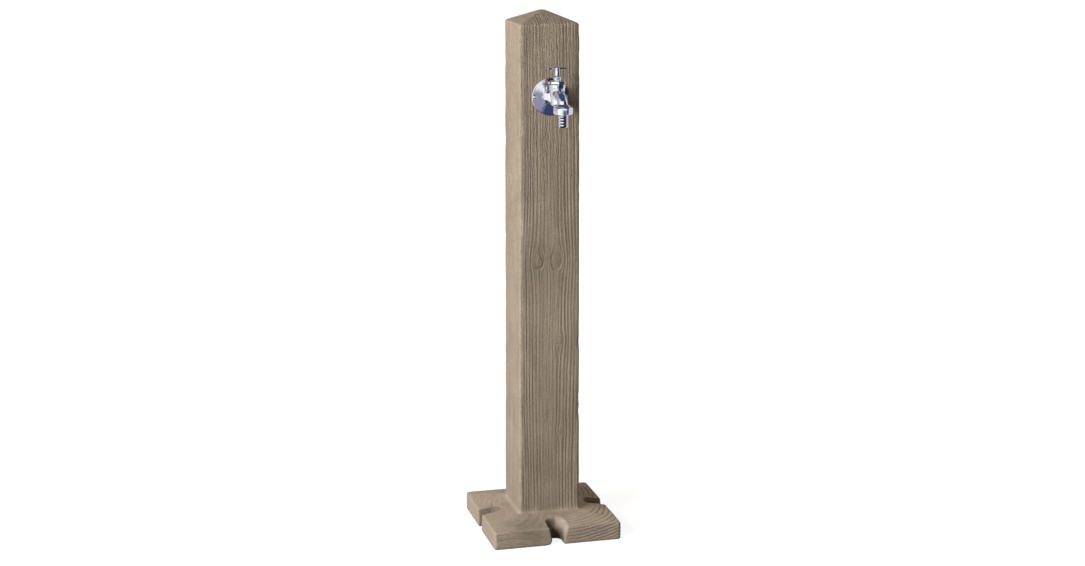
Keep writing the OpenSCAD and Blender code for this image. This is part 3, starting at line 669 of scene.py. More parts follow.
def build_casting(post, grain, tap):
    """One closed skin: cap, post, foot, slots, recess and duct."""
    relief = CastingRelief(grain, tap)
    bm = bmesh.new()
    layers = {name: bm.verts.layers.float.new(name) for name in ("groove", "knot", "worn", "band", "deep")}
    lines = bm.verts.layers.float_vector.new("lines")
    skin = Skin(bm, capped=True)

    def add_ring(x, y, z, **masks):
        """Adds a ring in millimetres and writes its masks."""
        skin.grow(np.stack([x, y, z], 1) * MM)
        for name, value in masks.items():
            for vert, number in zip(skin.verts, np.broadcast_to(value, len(skin.verts)).tolist()):
                vert[layers[name]] = number

    columns = np.arange(SIDE_COLUMNS, dtype=float)
    rings = post_rings(post)
    for width, radius, height, tilt, share in rings:
        sides = []
        for side in range(4):
            across, out, side_way, out_way = side_places(columns, width, radius)
            z = np.full_like(across, height)
            depth, groove, knot, worn, number = relief.on_side(side, columns, across, z)
            depth = depth * share
            if tilt > 0.9 and width < FILLET_FROM:
                depth = np.minimum(depth, 0.0) - 0.02
            level = depth * math.cos(tilt)
            x, y = to_side(side, across + level * side_way, out + level * out_way)
            worn = np.maximum(worn, 0.6 * (0.2 < tilt < 1.1) * (width < FILLET_FROM))
            sides.append([x, y, np.minimum(z + depth * math.sin(tilt), post.height),
                          groove * min(1.0, share * 1.2), knot, worn, (side + 0.5) * SIDE_RUN + number])
        x, y, z, groove, knot, worn, number = np.concatenate(sides, 1)
        add_ring(x, y, z, groove=groove, knot=knot, worn=worn)
        for vert, across, along in zip(skin.verts, number, z):
            vert[lines] = (across * MM, along * MM, 0.0)
    post_faces = len(bm.faces)

    column = np.tile(np.arange(0, SIDE_COLUMNS, 0.5), 4)
    side_of = np.repeat(np.arange(4), 2 * SIDE_COLUMNS)
    across, out, *_ = side_places(column, *rings[-1][:2])
    start = np.stack(to_side(side_of, across, out))
    skin.split(np.stack([*start, foot_height(*start, post)], 1) * MM)
    skin.verts[-1][lines] = skin.verts[-2][lines]

    around = np.arange(len(column)) * 1.6
    from_middle = column - MIDDLE_COLUMN
    right_lip = (from_middle > 0) & (side_of == 0)
    in_slot = np.abs(from_middle) < MOUTH_AWAY[1] + 1
    edge = post.foot_edge * (1 + 0.2 * relief.rim_waves[0](around)) + 2.0 * (right_lip & in_slot)
    edge = edge + np.select([side_of == 3, side_of == 0], [2.0, 1.5], 1.0) * hump(from_middle, 9.0)

    # Painted shade in the slots: in_hollow is how far a column lies inside a slot, and the shade grows from
    # shade_from to shade_full millimetres below the foot's top, soonest in the left slot and on the left of
    # the front slot's end
    in_hollow = smooth(MOUTH_AWAY[1] - np.abs(from_middle), 0, 5)
    shaded = [side_of == 3, (side_of == 0) & (from_middle > 1), side_of == 0]
    shade_from = np.select(shaded, [0.0, 5.0, 0.0], 2.0)
    shade_full = np.select(shaded, [3.0, 24.0, 6.0], 16.0)

    def outline(inset, height):
        """The foot's outline, with wider mouths high up and the chipped corner left of the front slot."""
        wider = np.select([right_lip, side_of == 2], [2.5, 3.0], 0.0) * smooth(height, 12, 34)
        across, out, side_way, out_way = foot_places(column, inset, height, post.slot_mouth + wider, post)
        low = np.clip(1 - height / 8.0, 0, 1)
        chip = 8.0 * (1 - np.sqrt(1 - low ** 2)) * (side_of == 0) * (from_middle < 0)
        across = across - chip * smooth(out, 92, 116) * smooth(-from_middle, 38, 20)
        return *to_side(side_of, across, out), *to_side(side_of, side_way, out_way)

    def foot_ring(places, z, upward, worn):
        x, y, way_x, way_y = places
        depth, band = relief.on_foot(x, y, z, upward)
        depth = depth - worn * (0.5 * np.abs(relief.rim_waves[1](around)) + 0.35)
        depth = np.minimum(depth, 0.7 if upward > 0.8 else 0.0)
        level = depth * math.sqrt(1 - upward ** 2)
        limit = post.foot_width / 2
        # painted shade that darkens the slots below the foot's top
        deep = in_hollow * smooth(foot_height(x, y, post) - z, shade_from, shade_full)
        add_ring(np.clip(x + level * way_x, -limit, limit), np.clip(y + level * way_y, -limit, limit),
                 z + depth * upward, band=band, deep=deep, groove=0.0, worn=worn, knot=3.0)

    def plain_ring(x, y, height):
        # the underside, the recess and the duct get full painted shade
        add_ring(x, y, height + 0 * x, band=0.0, deep=1.0, groove=0.0, worn=0.0, knot=3.0)

    top = np.full(len(column), post.rim_height)
    for _ in range(3):
        x, y, *way = outline(edge, top)
        top = foot_height(x, y, post)
    rim = np.stack([x, y])
    for share in np.linspace(0.0, 1.0, 23)[1:]:
        here = start + (rim - start) * share
        foot_ring((*here, *way), foot_height(*here, post), 1.0, 2.0 * max(0.0, share - 0.9))
    for share in QUARTERS:
        turn = share * math.pi / 2
        z = top - edge * (1 - math.cos(turn))
        foot_ring(outline(edge * (1 - math.sin(turn)), z), z, math.cos(turn), 0.45 - 0.15 * share)
    for share in np.linspace(0.0, 1.0, 7)[1:]:
        z = top - edge + (post.chamfer - top + edge) * share
        foot_ring(outline(0.0, z), z, 0.0, 0.0)
    plain_ring(*outline(post.chamfer, 0.0 * top)[:2], 0.0)
    for width, height in ((post.recess_width, 0.0), (post.recess_width, post.recess_depth),
                          (post.duct_width, post.recess_depth), (post.duct_width, post.duct_top)):
        across, out, *_ = side_places(column, width / 2, HOLLOW_CORNER)
        plain_ring(*to_side(side_of, across, out), height)
    skin.close()

    lay_grain(bm, lines, post_faces)
    bm.verts.layers.float_vector.remove(lines)
    shade_smooth(bm)
    return bm


def lay_grain(bm, lines, post_faces):
    """Lays the grain's own map: first number across the grain, second place along it, in metres."""
    grain_map = bm.loops.layers.uv.new("grain")
    perimeter = 4 * SIDE_RUN * MM
    quarters = {}
    bm.faces.index_update()
    for face in bm.faces:
        if face.index < post_faces:
            seen = [loop.vert[lines] for loop in face.loops]
            most = max(s[0] for s in seen)
            for loop, s in zip(face.loops, seen):
                loop[grain_map].uv = (s[0] + (perimeter if most - s[0] > perimeter / 2 else 0.0), s[1])
        else:
            middle = face.calc_center_median()
            quarter = (1 if middle.x >= 0 else -1, 1 if middle.y >= 0 else -1)
            quarters.setdefault(quarter, []).extend(face.loops)
    for quarter, loops in quarters.items():
        cx, cy, rise, *_ = FOOT_GRAIN[quarter]
        x, y, z = np.array([loop.vert.co for loop in loops]).T / MM
        number = (np.hypot(x - cx, y - cy) + rise * z) * MM
        for loop, across, along in zip(loops, number, np.arctan2(y - cy, x - cx) * 0.18):
            loop[grain_map].uv = (across, along)


# The tap


def build_rosette(tap):
    wall, height = -tap.wall, tap.inlet_height
    r, rim, middle = tap.rosette_width / 2, tap.rosette_rim, tap.rosette_middle
    slope = [(r - 3.2 + (20.4 - r) * share, rim + 0.2 + (middle - rim - 0.52) * share)
             for share in (0.38, 0.45, 0.7)]
    disc = [(10.7, 0), (r - 0.6, 0), (r, 0.6), (r, rim - 1.1), (r - 0.35, rim - 0.35), (r - 1.1, rim),
            (r - 2.4, rim + 0.02), (r - 3.2, rim + 0.2), *slope, (17.2, middle - 0.32), (15.6, middle - 0.06),
            (14.6, middle), (10.7, middle)]
    bm = bmesh.new()
    turned(bm, disc, (0, wall, height), "Y", steps=160, closed=True)
    seat = tap.screw_head / 2 + 0.3
    bore = [(0, rim - 0.6), (seat, rim - 0.6), (seat + 0.05, rim + 0.5), (seat + 0.9, rim + 6), (0, rim + 6)]
    holes = [closed_shape(turned, bore, (hand * tap.screw_place, wall, height), "Y", 40) for hand in (-1, 1)]
    bm = add_mesh(bmesh.new(), combine([new_object("disc", bm)], holes))
    return in_metres(soften(bm, 0.16, 28))


def cross_arm(bm, head, rise, turn):
    """One arm of a screw's cross recess."""
    verts = bmesh.ops.create_cube(bm, size=1.0)["verts"]
    bmesh.ops.scale(bm, vec=(head * 1.12, head * 0.25, rise * 1.2), verts=verts)
    bmesh.ops.translate(bm, vec=(0, 0, rise * 1.05), verts=verts)
    bmesh.ops.rotate(bm, cent=(0, 0, 0), matrix=Matrix.Rotation(turn, 3, "Z"), verts=verts)


def cross_screw(bm, place, axis, shank, under, head, rise, turn):
    """A pan-headed screw with a cross recess, its head's underside at place."""
    profile = [(0, -under), (shank * 0.2, -under + shank * 0.4), (shank, -under + 2 * shank), (shank, 0),
               (head - 0.15, 0), (head, 0.15)]
    dome = [(1, 0.3), (0.93, 0.6), (0.76, 0.82), (0.5, 0.95), (0.2, 1), (0, 1)]
    profile += [(head * out, rise * up) for out, up in dome]
    arms = [closed_shape(cross_arm, head, rise, turn + quarter * math.pi / 2) for quarter in (0, 1)]
    mesh = combine([closed_shape(turned, profile, (0, 0, 0), "Z", 48)], arms)
    mesh.transform(lying(place, axis))
    add_mesh(bm, mesh)


def build_rosette_screws(tap):
    bm = bmesh.new()
    seat = -tap.wall - tap.rosette_rim + 0.5
    for hand, turn in ((-1, 0.5), (1, 1.1)):
        place = (hand * tap.screw_place, seat, tap.inlet_height)
        cross_screw(bm, place, "Y", 1.75, 25, tap.screw_head / 2, 2.2, turn)
    return in_metres(bm)


# Pitch of both pipe threads, in millimetres
THREAD_PITCH = 1.814


def thread(start, end, step, crest, root, lead):
    """Crests and roots of a thread's rings, from start until end is passed."""
    z, rings = start, []
    while (end - z) * step > 0:
        rings += [(crest, z + step * lead), (root, z + step * 0.98)]
        z += step
    return rings


def build_tap_body(tap):
    """Barrel, arm and spout in one casting, with the turned collar, rim, inlet thread and outlet thread."""
    height, spindle, outlet = tap.inlet_height, -tap.spindle_axis, -tap.outlet_axis
    inlet = -tap.wall - tap.rosette_middle
    arm = inlet - spindle
    foot, rim, rise = tap.barrel_foot / 2, tap.barrel_width / 2, tap.barrel_rise
    collar, spout = tap.collar_width / 2, tap.spout_width / 2
    nut_top = ends("union_nut")[1] + 0.3
    at_spindle, at_outlet, at_inlet = (0, spindle, height), (0, outlet, 0), (0, inlet, height)

    barrel = [(0, 0.2 - collar), (foot * 0.4, 0.6 - collar), (foot * 0.72, 2.2 - collar),
              (foot * 0.93, 5 - collar), (foot, 8.5 - collar), (foot, 1), (foot + 0.9, 8),
              (rim - 0.9, rise - 8.4), (rim - 0.3, rise - 6.4), (rim - 0.3, rise - 0.4), (0, rise - 0.4)]
    bar = [(0, 0.4), (collar - 0.6, 0.4), (collar - 0.6, 4.6), (collar - 1.3, 6.0), (foot - 0.9, 9.5),
           (foot - 1.4, 14), (foot - 1.4, arm), (0, arm)]
    bend = [(spindle + 1, 13.5, 11.0), (spindle - 8, 12.6, 11.0), (spindle - 17, 11, 10.5),
            (spindle - 25, 9, 9.8), (spindle - 31.5, 6.6, 9.4), (outlet + 4.4, 3.8, 9.0),
            (outlet + 1.8, 0.6, spout + 0.25), (outlet + 0.4, -2.4, spout + 0.1), (outlet, -4.8, spout),
            (outlet, nut_top - height, spout)]
    seat = 10.5
    chamber = [(0, seat - 8), (5.5, seat - 8), (5.5, seat), (7, seat), (7, seat - 2), (10.5, seat - 2),
               (10.5, rise + 3), (0, rise + 3)]
    inlet_way = [(0, -6), (6, -6), (6, arm + 2.3), (0, arm + 2.3)]
    outlet_way = [(spindle - 3, 18, 5.0), (spindle - 24, 8, 5.4), (outlet + 1, 0.5, 5.8), (outlet, -3, 6),
                  (outlet, -20, 6)]

    def pipe(way):
        return closed_shape(swept, [(0, y, height + z) for y, z, _ in way], [radius for *_, radius in way])

    shapes = [closed_shape(turned, barrel, at_spindle), closed_shape(turned, bar, at_inlet, "Y"), pipe(bend)]
    holes = [closed_shape(turned, chamber, at_spindle, "Z", 50),
             closed_shape(turned, inlet_way, at_inlet, "Y", 33), pipe(outlet_way)]
    cast = combine(shapes, holes, voxel=0.58)

    bm = bmesh.new()
    top_ring = [(rim - 1.2, rise - 6.2), (rim - 0.25, rise - 6.2), (rim, rise - 5.8), (rim, rise - 0.45),
                (rim - 0.45, rise), (10.6, rise), (10.6, rise - 3), (rim - 1.2, rise - 3)]
    turned(bm, top_ring, at_spindle, steps=128, closed=True)
    collar_ring = [(6.2, 0), (collar - 0.5, 0), (collar, 0.5), (collar, 3.9), (collar - 0.5, 4.4),
                   (collar - 1.6, 4.4), (6.2, 4.4)]
    turned(bm, collar_ring, at_inlet, "Y", 128, closed=True)
    rod = [(6.2, -0.2), (9.4, -0.2), *thread(-0.6, -17, -THREAD_PITCH, 10.4, 9.4, 0.35)]
    turned(bm, rod + [(9.0, -17.6), (6.2, -17.6)], at_inlet, "Y", 64, closed=True)
    outer = 13.0
    stub = [(6.05, nut_top + 3.2), (spout - 0.4, nut_top + 4.2), (spout + 0.1, nut_top + 3.7),
            (outer + 0.1, nut_top + 0.5), (outer + 0.35, nut_top), (outer - 1.1, nut_top - 0.1)]
    stub += thread(nut_top - 0.2, nut_top - 7.6, -THREAD_PITCH, outer, outer - 1.1, 0.5)
    turned(bm, stub + [(outer - 1.2, nut_top - 8.6), (6.05, nut_top - 8.6)], at_outlet, closed=True)
    return in_metres(add_mesh(soften(bm, 0.12, 25), cast))


def build_headwork(tap):
    """The hexagon with its threaded root and the gland's neck."""
    base, top = ends("headwork")
    low = tap.inlet_height + tap.barrel_rise + 1.0
    high = low + 5.0
    flats = tap.hexagon
    root = [(5.08, base), (9.6, base), (10.4, base + 0.8), (10.4, low - 0.9), (9.6, low - 0.5), (9.6, low)]
    hexagon = [(FLATS, low, 0.0), (FLATS, high - 0.25, -0.577), (flats / 2 * 0.965, high - 0.05),
               (flats / 2 * 0.93, high)]
    neck = [(7.2, high + 0.1), (6.3, high + 0.35), (5.2, high + 0.4), (5.2, top), (4.4, top),
            (4.4, high + 0.8), (3.08, high + 0.8), (3.08, high - 1.2), (5.08, high - 1.2)]
    return in_metres(soften(nut_shape(-tap.spindle_axis, flats, root + hexagon + neck), 0.22, 26))


def build_gland_nut(tap):
    low, top = ends("gland_nut")
    flats = tap.gland
    rings = [(5.3, low), (FLATS, low, 0.0), (FLATS, top - 1.5, -0.577), (flats / 2 * 0.965, top - 1.3),
             (4.6, top - 0.15), (4.3, top), (3.16, top), (3.16, top - 2.4), (5.3, top - 2.4)]
    return in_metres(soften(nut_shape(-tap.spindle_axis, flats, rings, math.radians(22), 0.2), 0.2, 26))


def build_handle(tap):
    """Hub and tapered cross bar, cast in one."""
    low, top = ends("t_handle")
    bar_z = top - 2.6
    place = (0, -tap.spindle_axis, 0)
    half = tap.bar_length / 2
    hub = [(0, low + 0.1), (4.5, low + 0.1), (4.95, low + 0.6), (4.95, low + 4.6), (4.35, low + 7.4),
           (4.2, low + 8.6), (4.6, low + 10.4), (5.0, bar_z), (4.7, top - 1.2), (3.6, top - 0.15),
           (0, top - 0.05)]
    arm = [(2.4, 5.5), (2.0, 10), (1.75, half - 4), (1.85, half - 1.8), (1.6, half - 0.75),
           (0.9, half - 0.15), (0, half)]
    bar = [(radius, -out) for radius, out in reversed(arm)] + [(2.45, 0)] + arm
    bore = [(0, low - 1), (3.1, low - 1), (3.1, low + 9.8), (1.55, low + 9.8), (1.55, top + 1), (0, top + 1)]
    shapes = [closed_shape(turned, hub, place, "Z", 64),
              closed_shape(turned, bar, (0, place[1], bar_z), "X", 40)]
    cast = combine(shapes, [closed_shape(turned, bore, place, "Z", 32)], voxel=0.2)
    return in_metres(add_mesh(bmesh.new(), cast))


def build_handle_screw(tap):
    bm = bmesh.new()
    low, top = ends("handle_screw")
    under = top - 1.3
    cross_screw(bm, (0, -tap.spindle_axis, under), "Z", 1.2, under - low, 2.5, 1.3, 0.3)
    return in_metres(bm)


def build_union_nut(tap):
    low, top = ends("union_nut")
    half = tap.union / 2
    hole, bore = tap.crest_width / 2 + 0.6, 13.3
    rings = [(hole, low), (half * 0.90, low), (half * 0.965, low + 0.35), (FLATS, low + 0.65, 0.62),
             (FLATS, top - 1.15, -0.62), (half * 0.965, top - 0.85), (half * 0.90, top - 0.2),
             (half * 0.86, top), (bore + 0.4, top), (bore, top - 0.5), (bore, low + 2.2), (hole, low + 2.2)]
    return in_metres(soften(nut_shape(-tap.outlet_axis, tap.union, rings, math.radians(15), 0.5), 0.3, 26, 3))


def build_hose_tail(tap):
    crest, root, pitch, bore = tap.crest_width / 2, tap.root_width / 2, tap.crest_pitch, tap.tail_bore / 2
    low, top = ends("hose_tail")
    flange = ends("union_nut")[0] + 2.3
    first = low + tap.crests * pitch
    profile = [(bore, top), (12.9, top), (12.9, flange), (crest - 0.2, flange), (crest - 0.2, first + 0.9),
               (crest - 0.6, first + 0.35)]
    for i in range(tap.crests):
        z = first - i * pitch
        profile += [(crest - 0.25, z), (crest, z - 0.25), (crest, z - 1.4), (root, z - pitch + 0.35),
                    (root, z - pitch + 0.1)]
    profile[-1] = (root - 0.4, low)
    bm = bmesh.new()
    turned(bm, profile + [(bore + 0.4, low), (bore, low + 0.4)], (0, -tap.outlet_axis, 0), closed=True)
    return in_metres(soften(bm, 0.14, 14))


# Finishes


class Wire:
    """A value in a shader tree, which adds and multiplies like a number."""

    def __init__(self, tree, socket):
        self.tree, self.socket = tree, socket

    def __getitem__(self, output):
        """Another output of the same node."""
        return Wire(self.tree, self.socket.node.outputs[output])

    def maths(self, operation, other=0.0):
        return add(self.tree, "ShaderNodeMath", {0: self, 1: other}, operation=operation)

    def __add__(self, other):
        return self.maths("ADD", other)

    def __sub__(self, other):
        return self.maths("SUBTRACT", other)

    def __mul__(self, other):
        return self.maths("MULTIPLY", other)

    def ramp(self, low, high, start=0.0, end=1.0, kind="SMOOTHSTEP"):
        inputs = {0: self, 1: low, 2: high, 3: start, 4: end}
        return add(self.tree, "ShaderNodeMapRange", inputs, interpolation_type=kind)


def add(tree, kind, inputs=None, output=0, **settings):
    """Adds a shader node and gives one of its outputs; inputs are wires or plain values."""
    node = tree.nodes.new(kind)
    for key, value in settings.items():
        setattr(node, key, value)
    for key, value in (inputs or {}).items():
        if isinstance(value, Wire):
            tree.links.new(value.socket, node.inputs[key])
        else:
            node.inputs[key].default_value = value
    return Wire(tree, node.outputs[output])


def use(name, place, **inputs):
    """Places one of the node groups in the tree of a place."""
    return add(place.tree, "ShaderNodeGroup", {"Place": place, **inputs}, node_tree=effects[name])


def noise(place, scale, detail=3.0, rough=0.55, twist=0.0):
    inputs = {"Vector": place, "Scale": scale, "Detail": detail, "Roughness": rough, "Distortion": twist}
    return add(place.tree, "ShaderNodeTexNoise", inputs)


def cells(place, scale, output="Distance"):
    return add(place.tree, "ShaderNodeTexVoronoi", {"Vector": place, "Scale": scale}, output)


def vector(operation, first, second, output=0):
    return add(first.tree, "ShaderNodeVectorMath", {0: first, 1: second}, output, operation=operation)


def split(place):
    return add(place.tree, "ShaderNodeSeparateXYZ", {0: place})


def join(tree, *parts):
    return add(tree, "ShaderNodeCombineXYZ", dict(enumerate(parts)))


def blend(share, first, second, mode="MIX"):
    first, second = (tone if isinstance(tone, Wire) else (*tone[:3], 1.0) for tone in (first, second))
    tree = next(value.tree for value in (share, first, second) if isinstance(value, Wire))
    inputs = {0: share, 6: first, 7: second}
    return add(tree, "ShaderNodeMix", inputs, 2, data_type="RGBA", blend_type=mode, clamp_factor=True)


def coat(colour, *coats):
    """Lays coats over a colour, each a share and a colour."""
    for share, over in coats:
        colour = blend(share, colour, over)
    return colour


def shade(colour, share, dark, light):
    """Multiplies a colour by a tone between dark and light."""
    return blend(1.0, colour, blend(share, dark, light), "MULTIPLY")


def times(value, amount):
    return tuple(min(1.0, c * amount) for c in value)


def grain_streaks(given):
    """Fine lines along the grain map: dark share and height."""
    parts = split(given["Place"])
    place = join(given.tree, parts * given["Lines"], parts[1] * given["Run"], 0.0)
    coarse = noise(vector("MULTIPLY", place, (0.37, 0.6, 1.0)), 1.0, 2.0, 0.5)
    both = noise(place, 1.0, 3.0, 0.6, 0.25) * 0.62 + coarse * 0.38
    return {"Streak": both.ramp(0.53, 0.36), "Height": both.ramp(0.36, 0.62)}


def mineral_speckle(given):
    """The fine grit of cast stone: light and dark specks, and height with pits."""
    place = given["Place"]
    grit = noise(place, given["Grit"], 2.0, 0.7)
    pits = cells(place, given["Grit"] * 0.22).ramp(0.2, 0.08) * noise(place, 55.0).ramp(0.5, 0.62)
    return {"Speckle": grit.ramp(0.3, 0.7), "Height": grit.ramp(0.3, 0.7, 0.0, 0.5) - pits, "Pits": pits}


def edge_wear(given):
    """Outer edges rubbed bright or bare, broken up by noise."""
    edge = add(given.tree, "ShaderNodeNewGeometry", output="Pointiness")
    edge = edge.ramp(0.51, given["Reach"] + 0.51, kind="LINEAR")
    return {"Wear": edge * noise(given["Place"], given["Break"], 3.0, 0.6).ramp(0.35, 0.6)}


def smudges(given):
    """Dried drops, wipe marks and a haze on bare metal and plastic."""
    cloud = noise(given["Place"], given["Size"], 4.0, 0.6, 0.6)
    spots = cells(given["Place"], given["Size"] * 2.6)
    drop = spots.ramp(0.30, 0.22) * spots.ramp(0.10, 0.20)
    return {"Haze": cloud.ramp(0.42, 0.72), "Drops": drop * cloud.ramp(0.5, 0.6)}


def turning_marks(given):
    """Fine rings round an upright axis, as a lathe leaves them."""
    number = split(given["Place"])[2] * given["Pitch"]
    uneven = noise(join(given.tree, 0.0, 0.0, number), 0.31, 2.0)
    return {"Height": (number * (2 * math.pi)).maths("SINE") * 0.25 + uneven}


def zinc_spangle(given):
    """The crystals of a zinc coat: each patch has its own grey and gloss."""
    bent = vector("MULTIPLY", noise(given["Place"], given["Size"], 2.0, 0.5)["Color"], (0.004, 0.004, 0.004))
    patches = cells(vector("ADD", given["Place"], bent), given["Size"], "Color")
    tone = add(given.tree, "ShaderNodeSeparateColor", {0: patches})
    return {"Tone": tone, "Height": tone * 0.6}


def studio_card(given):
    """How far a direction lies inside a card between two turns and two heights, all in degrees."""
    def between(value, low, high, edge):
        return value.ramp(low - edge, low + edge) * value.ramp(high + edge, high - edge)

    edge = given["Edge"]
    sides = between(given["Turn"], given["Left"], given["Right"], edge)
    return {"Mask": sides * between(given["Height"], given["Low"], given["High"], edge)}


# Node groups: what works out their outputs, and their inputs besides a place, with their defaults
GROUPS = {
    "Grain Streaks": (grain_streaks, {"Lines": 700.0, "Run": 14.0}),
    "Mineral Speckle": (mineral_speckle, {"Grit": 900.0}),
    "Edge Wear": (edge_wear, {"Reach": 0.06, "Break": 300.0}),
    "Smudges": (smudges, {"Size": 120.0}),
    "Turning Marks": (turning_marks, {"Pitch": 2600.0}),
    "Zinc Spangle": (zinc_spangle, {"Size": 160.0}),
}
CARD_INPUTS = dict.fromkeys(("Turn", "Height", "Left", "Right", "Low", "High", "Edge"), 0.0)
effects = {}
materials = {}


def make_group(name, work_out, numbers, placed=True):
    """Makes a node group with named sockets and keeps it."""
    tree = bpy.data.node_groups.new(name, "ShaderNodeTree")
    if placed:
        tree.interface.new_socket(name="Place", in_out="INPUT", socket_type="NodeSocketVector")
    for label, default in numbers.items():
        socket = tree.interface.new_socket(name=label, in_out="INPUT", socket_type="NodeSocketFloat")
        socket.default_value = default
    made = work_out(Wire(tree, tree.nodes.new("NodeGroupInput").outputs[0]))
    for label in made:
        tree.interface.new_socket(name=label, in_out="OUTPUT", socket_type="NodeSocketFloat")
    out = tree.nodes.new("NodeGroupOutput")
    for label, wire in made.items():
        tree.links.new(wire.socket, out.inputs[label])
    effects[name] = tree


def feed(shader, colour, roughness=None):
    """Links a colour and a roughness to a shader."""
    colour.tree.links.new(colour.socket, shader.inputs["Base Color"])
    if roughness:
        colour.tree.links.new(roughness.socket, shader.inputs["Roughness"])


def new_material(name, roughness, metallic=0.0, specular=0.5):
    """A material, its shader and the place on the object."""
    material = bpy.data.materials.new(name)
    material.use_nodes = True
    shader = material.node_tree.nodes["Principled BSDF"]
    shader.inputs["Roughness"].default_value = roughness
    shader.inputs["Metallic"].default_value = metallic
    shader.inputs["Specular IOR Level"].default_value = specular
    return material, shader, add(material.node_tree, "ShaderNodeTexCoord", output="Object")


def raise_surface(shader, height, distance, strength, **before):
    inputs = {"Strength": strength, "Distance": distance, "Height": height, **before}
    bump = add(height.tree, "ShaderNodeBump", inputs)
    height.tree.links.new(bump.socket, shader.inputs["Normal"])
    return bump


def cast_stone(finishes):
    """Taupe cast stone: streaks and grooves of the grain, worn edges, grit, pits, painted shade on the cap
    and in the slots and hollows, and painted light on the foot.
    """
    material, shader, place = new_material("cast_stone", 0.9, specular=0.25)
    tree = place.tree
    stone, dark = finishes.stone, finishes.groove
    grain = add(tree, "ShaderNodeUVMap", uv_map="grain")
    groove, worn, knot, band, deep = (add(tree, "ShaderNodeAttribute", output="Fac", attribute_name=name)
                                      for name in ("groove", "worn", "knot", "band", "deep"))
    fine = use("Grain Streaks", grain, Lines=720.0, Run=13.0)
    broad = use("Grain Streaks", grain, Lines=150.0, Run=3.5)
    grit = use("Mineral Speckle", place, Grit=900.0)
    coarse = use("Mineral Speckle", place, Grit=340.0)
    wear = use("Edge Wear", place, Reach=0.05, Break=240.0)
    cloud = noise(place, 11.0, 4.0, 0.6)
    patch = noise(place, 42.0, 3.0, 0.6)
    uneven = noise(place, 60.0, 2.0).ramp(0.3, 0.6, 0.5, 1.0)
    height, across = split(place)[2], split(grain)

    def ripples(pitch, bend):
        return (across * (2 * math.pi / pitch) + bend).maths("COSINE").ramp(0.0, 1.0) * uneven

    rings = (knot * 21.0 + patch * 7.0).maths("SINE") * 0.5 + 0.5
    rings = rings * knot.ramp(1.15, 0.8)
    lines = ripples(finishes.ring_pitch, noise(place, 16.0, 2.0) * 7.0) * band
    curls = ripples(finishes.curl_pitch, noise(vector("MULTIPLY", grain, (42.0, 13.0, 1.0)), 1.0, 2.0) * 22.0)
    curls = curls * height.ramp(0.55, 0.8, 0.12, 1.0) * height.ramp(0.06, 0.09)

    colour = coat(stone, (broad * 0.50, times(stone, 0.80)), (broad["Height"] * 0.35, times(stone, 1.18)),
                  (fine * 0.22, dark), (groove * 0.46, dark), (rings * 0.22, dark), (lines * 0.65, dark),
                  (curls * 0.26, dark), (worn * patch.ramp(0.36, 0.62) * 0.28, finishes.worn),
                  (wear * 0.3, finishes.worn))
    colour = shade(colour, cloud.ramp(0.3, 0.72), (0.90, 0.885, 0.87), (1.07, 1.05, 1.05))
    colour = shade(colour, grit, (0.93, 0.93, 0.93), (1.06, 1.06, 1.06))
    colour = shade(colour, coarse.ramp(0.25, 0.75), (0.90, 0.90, 0.90), (1.10, 1.10, 1.10))
    # painted shade: darkens the cap's top a little
    cap_shade = height.ramp(0.972, 0.984) * cloud.ramp(0.2, 0.6, 0.6, 1.0)
    # painted light: the whole foot, below 44 mm, is blended towards a paler colour
    colour = coat(colour, (grit["Pits"] * 0.6, times(dark, 0.8)), (cap_shade * 0.04, times(stone, 0.62)),
                  (height.ramp(0.055, 0.044) * 0.36, (0.50, 0.405, 0.32)))
    for middle, reach, strength in STAINS:
        away = patch * reach + vector("DISTANCE", place, middle, "Value")
        colour = blend(away.ramp(1.45 * reach, 0.6 * reach) * strength, colour, (0.17, 0.148, 0.105))
    # painted shade in the slots and hollows blends the colour towards a darkened groove colour
    feed(shader, blend(deep * 0.62, colour, times(dark, 0.8)), grit.ramp(0.0, 1.0, 0.84, 0.97))

    relief = fine["Height"] * 0.7 + broad["Height"] * 0.8 + coarse["Height"] * 0.7
    relief = relief - rings * 0.6 - lines * 4.2 - curls
    first = raise_surface(shader, relief, 0.0006, 0.62)
    raise_surface(shader, grit["Height"], 0.00035, 0.6, Normal=first)
    return material


def chrome_plate(finishes):
    """Polished chrome with a trace of haze, dried drops and a soft cast ripple."""
    material, shader, place = new_material("chrome_plate", 0.07, metallic=1.0)
    smudge = use("Smudges", place, Size=95.0)
    wear = use("Edge Wear", place, Reach=0.10, Break=500.0)
    colour = coat(finishes.chrome, (smudge * 0.25, times(finishes.chrome, 0.90)),
                  (wear * 0.25, (0.90, 0.87, 0.82)), (smudge["Drops"] * 0.12, (0.72, 0.72, 0.70)))
    feed(shader, colour, smudge * 0.06 + 0.05 + smudge["Drops"] * 0.10)
    raise_surface(shader, noise(place, 130.0, 2.0, 0.4), 0.00012, 0.35)
    return material


def bare_brass(finishes):
    """Machined brass with turning marks, tarnish and bright edges."""
    material, shader, place = new_material("bare_brass", 0.3, metallic=1.0)
    smudge = use("Smudges", place, Size=70.0)
    wear = use("Edge Wear", place, Reach=0.08, Break=400.0)
    colour = coat(finishes.brass, (smudge * 0.6, (0.40, 0.27, 0.11)), (wear * 0.6, (0.86, 0.70, 0.36)))
    feed(shader, colour, smudge * 0.25 + 0.22)
    raise_surface(shader, use("Turning Marks", place, Pitch=2400.0), 0.00006, 0.5)
    return material


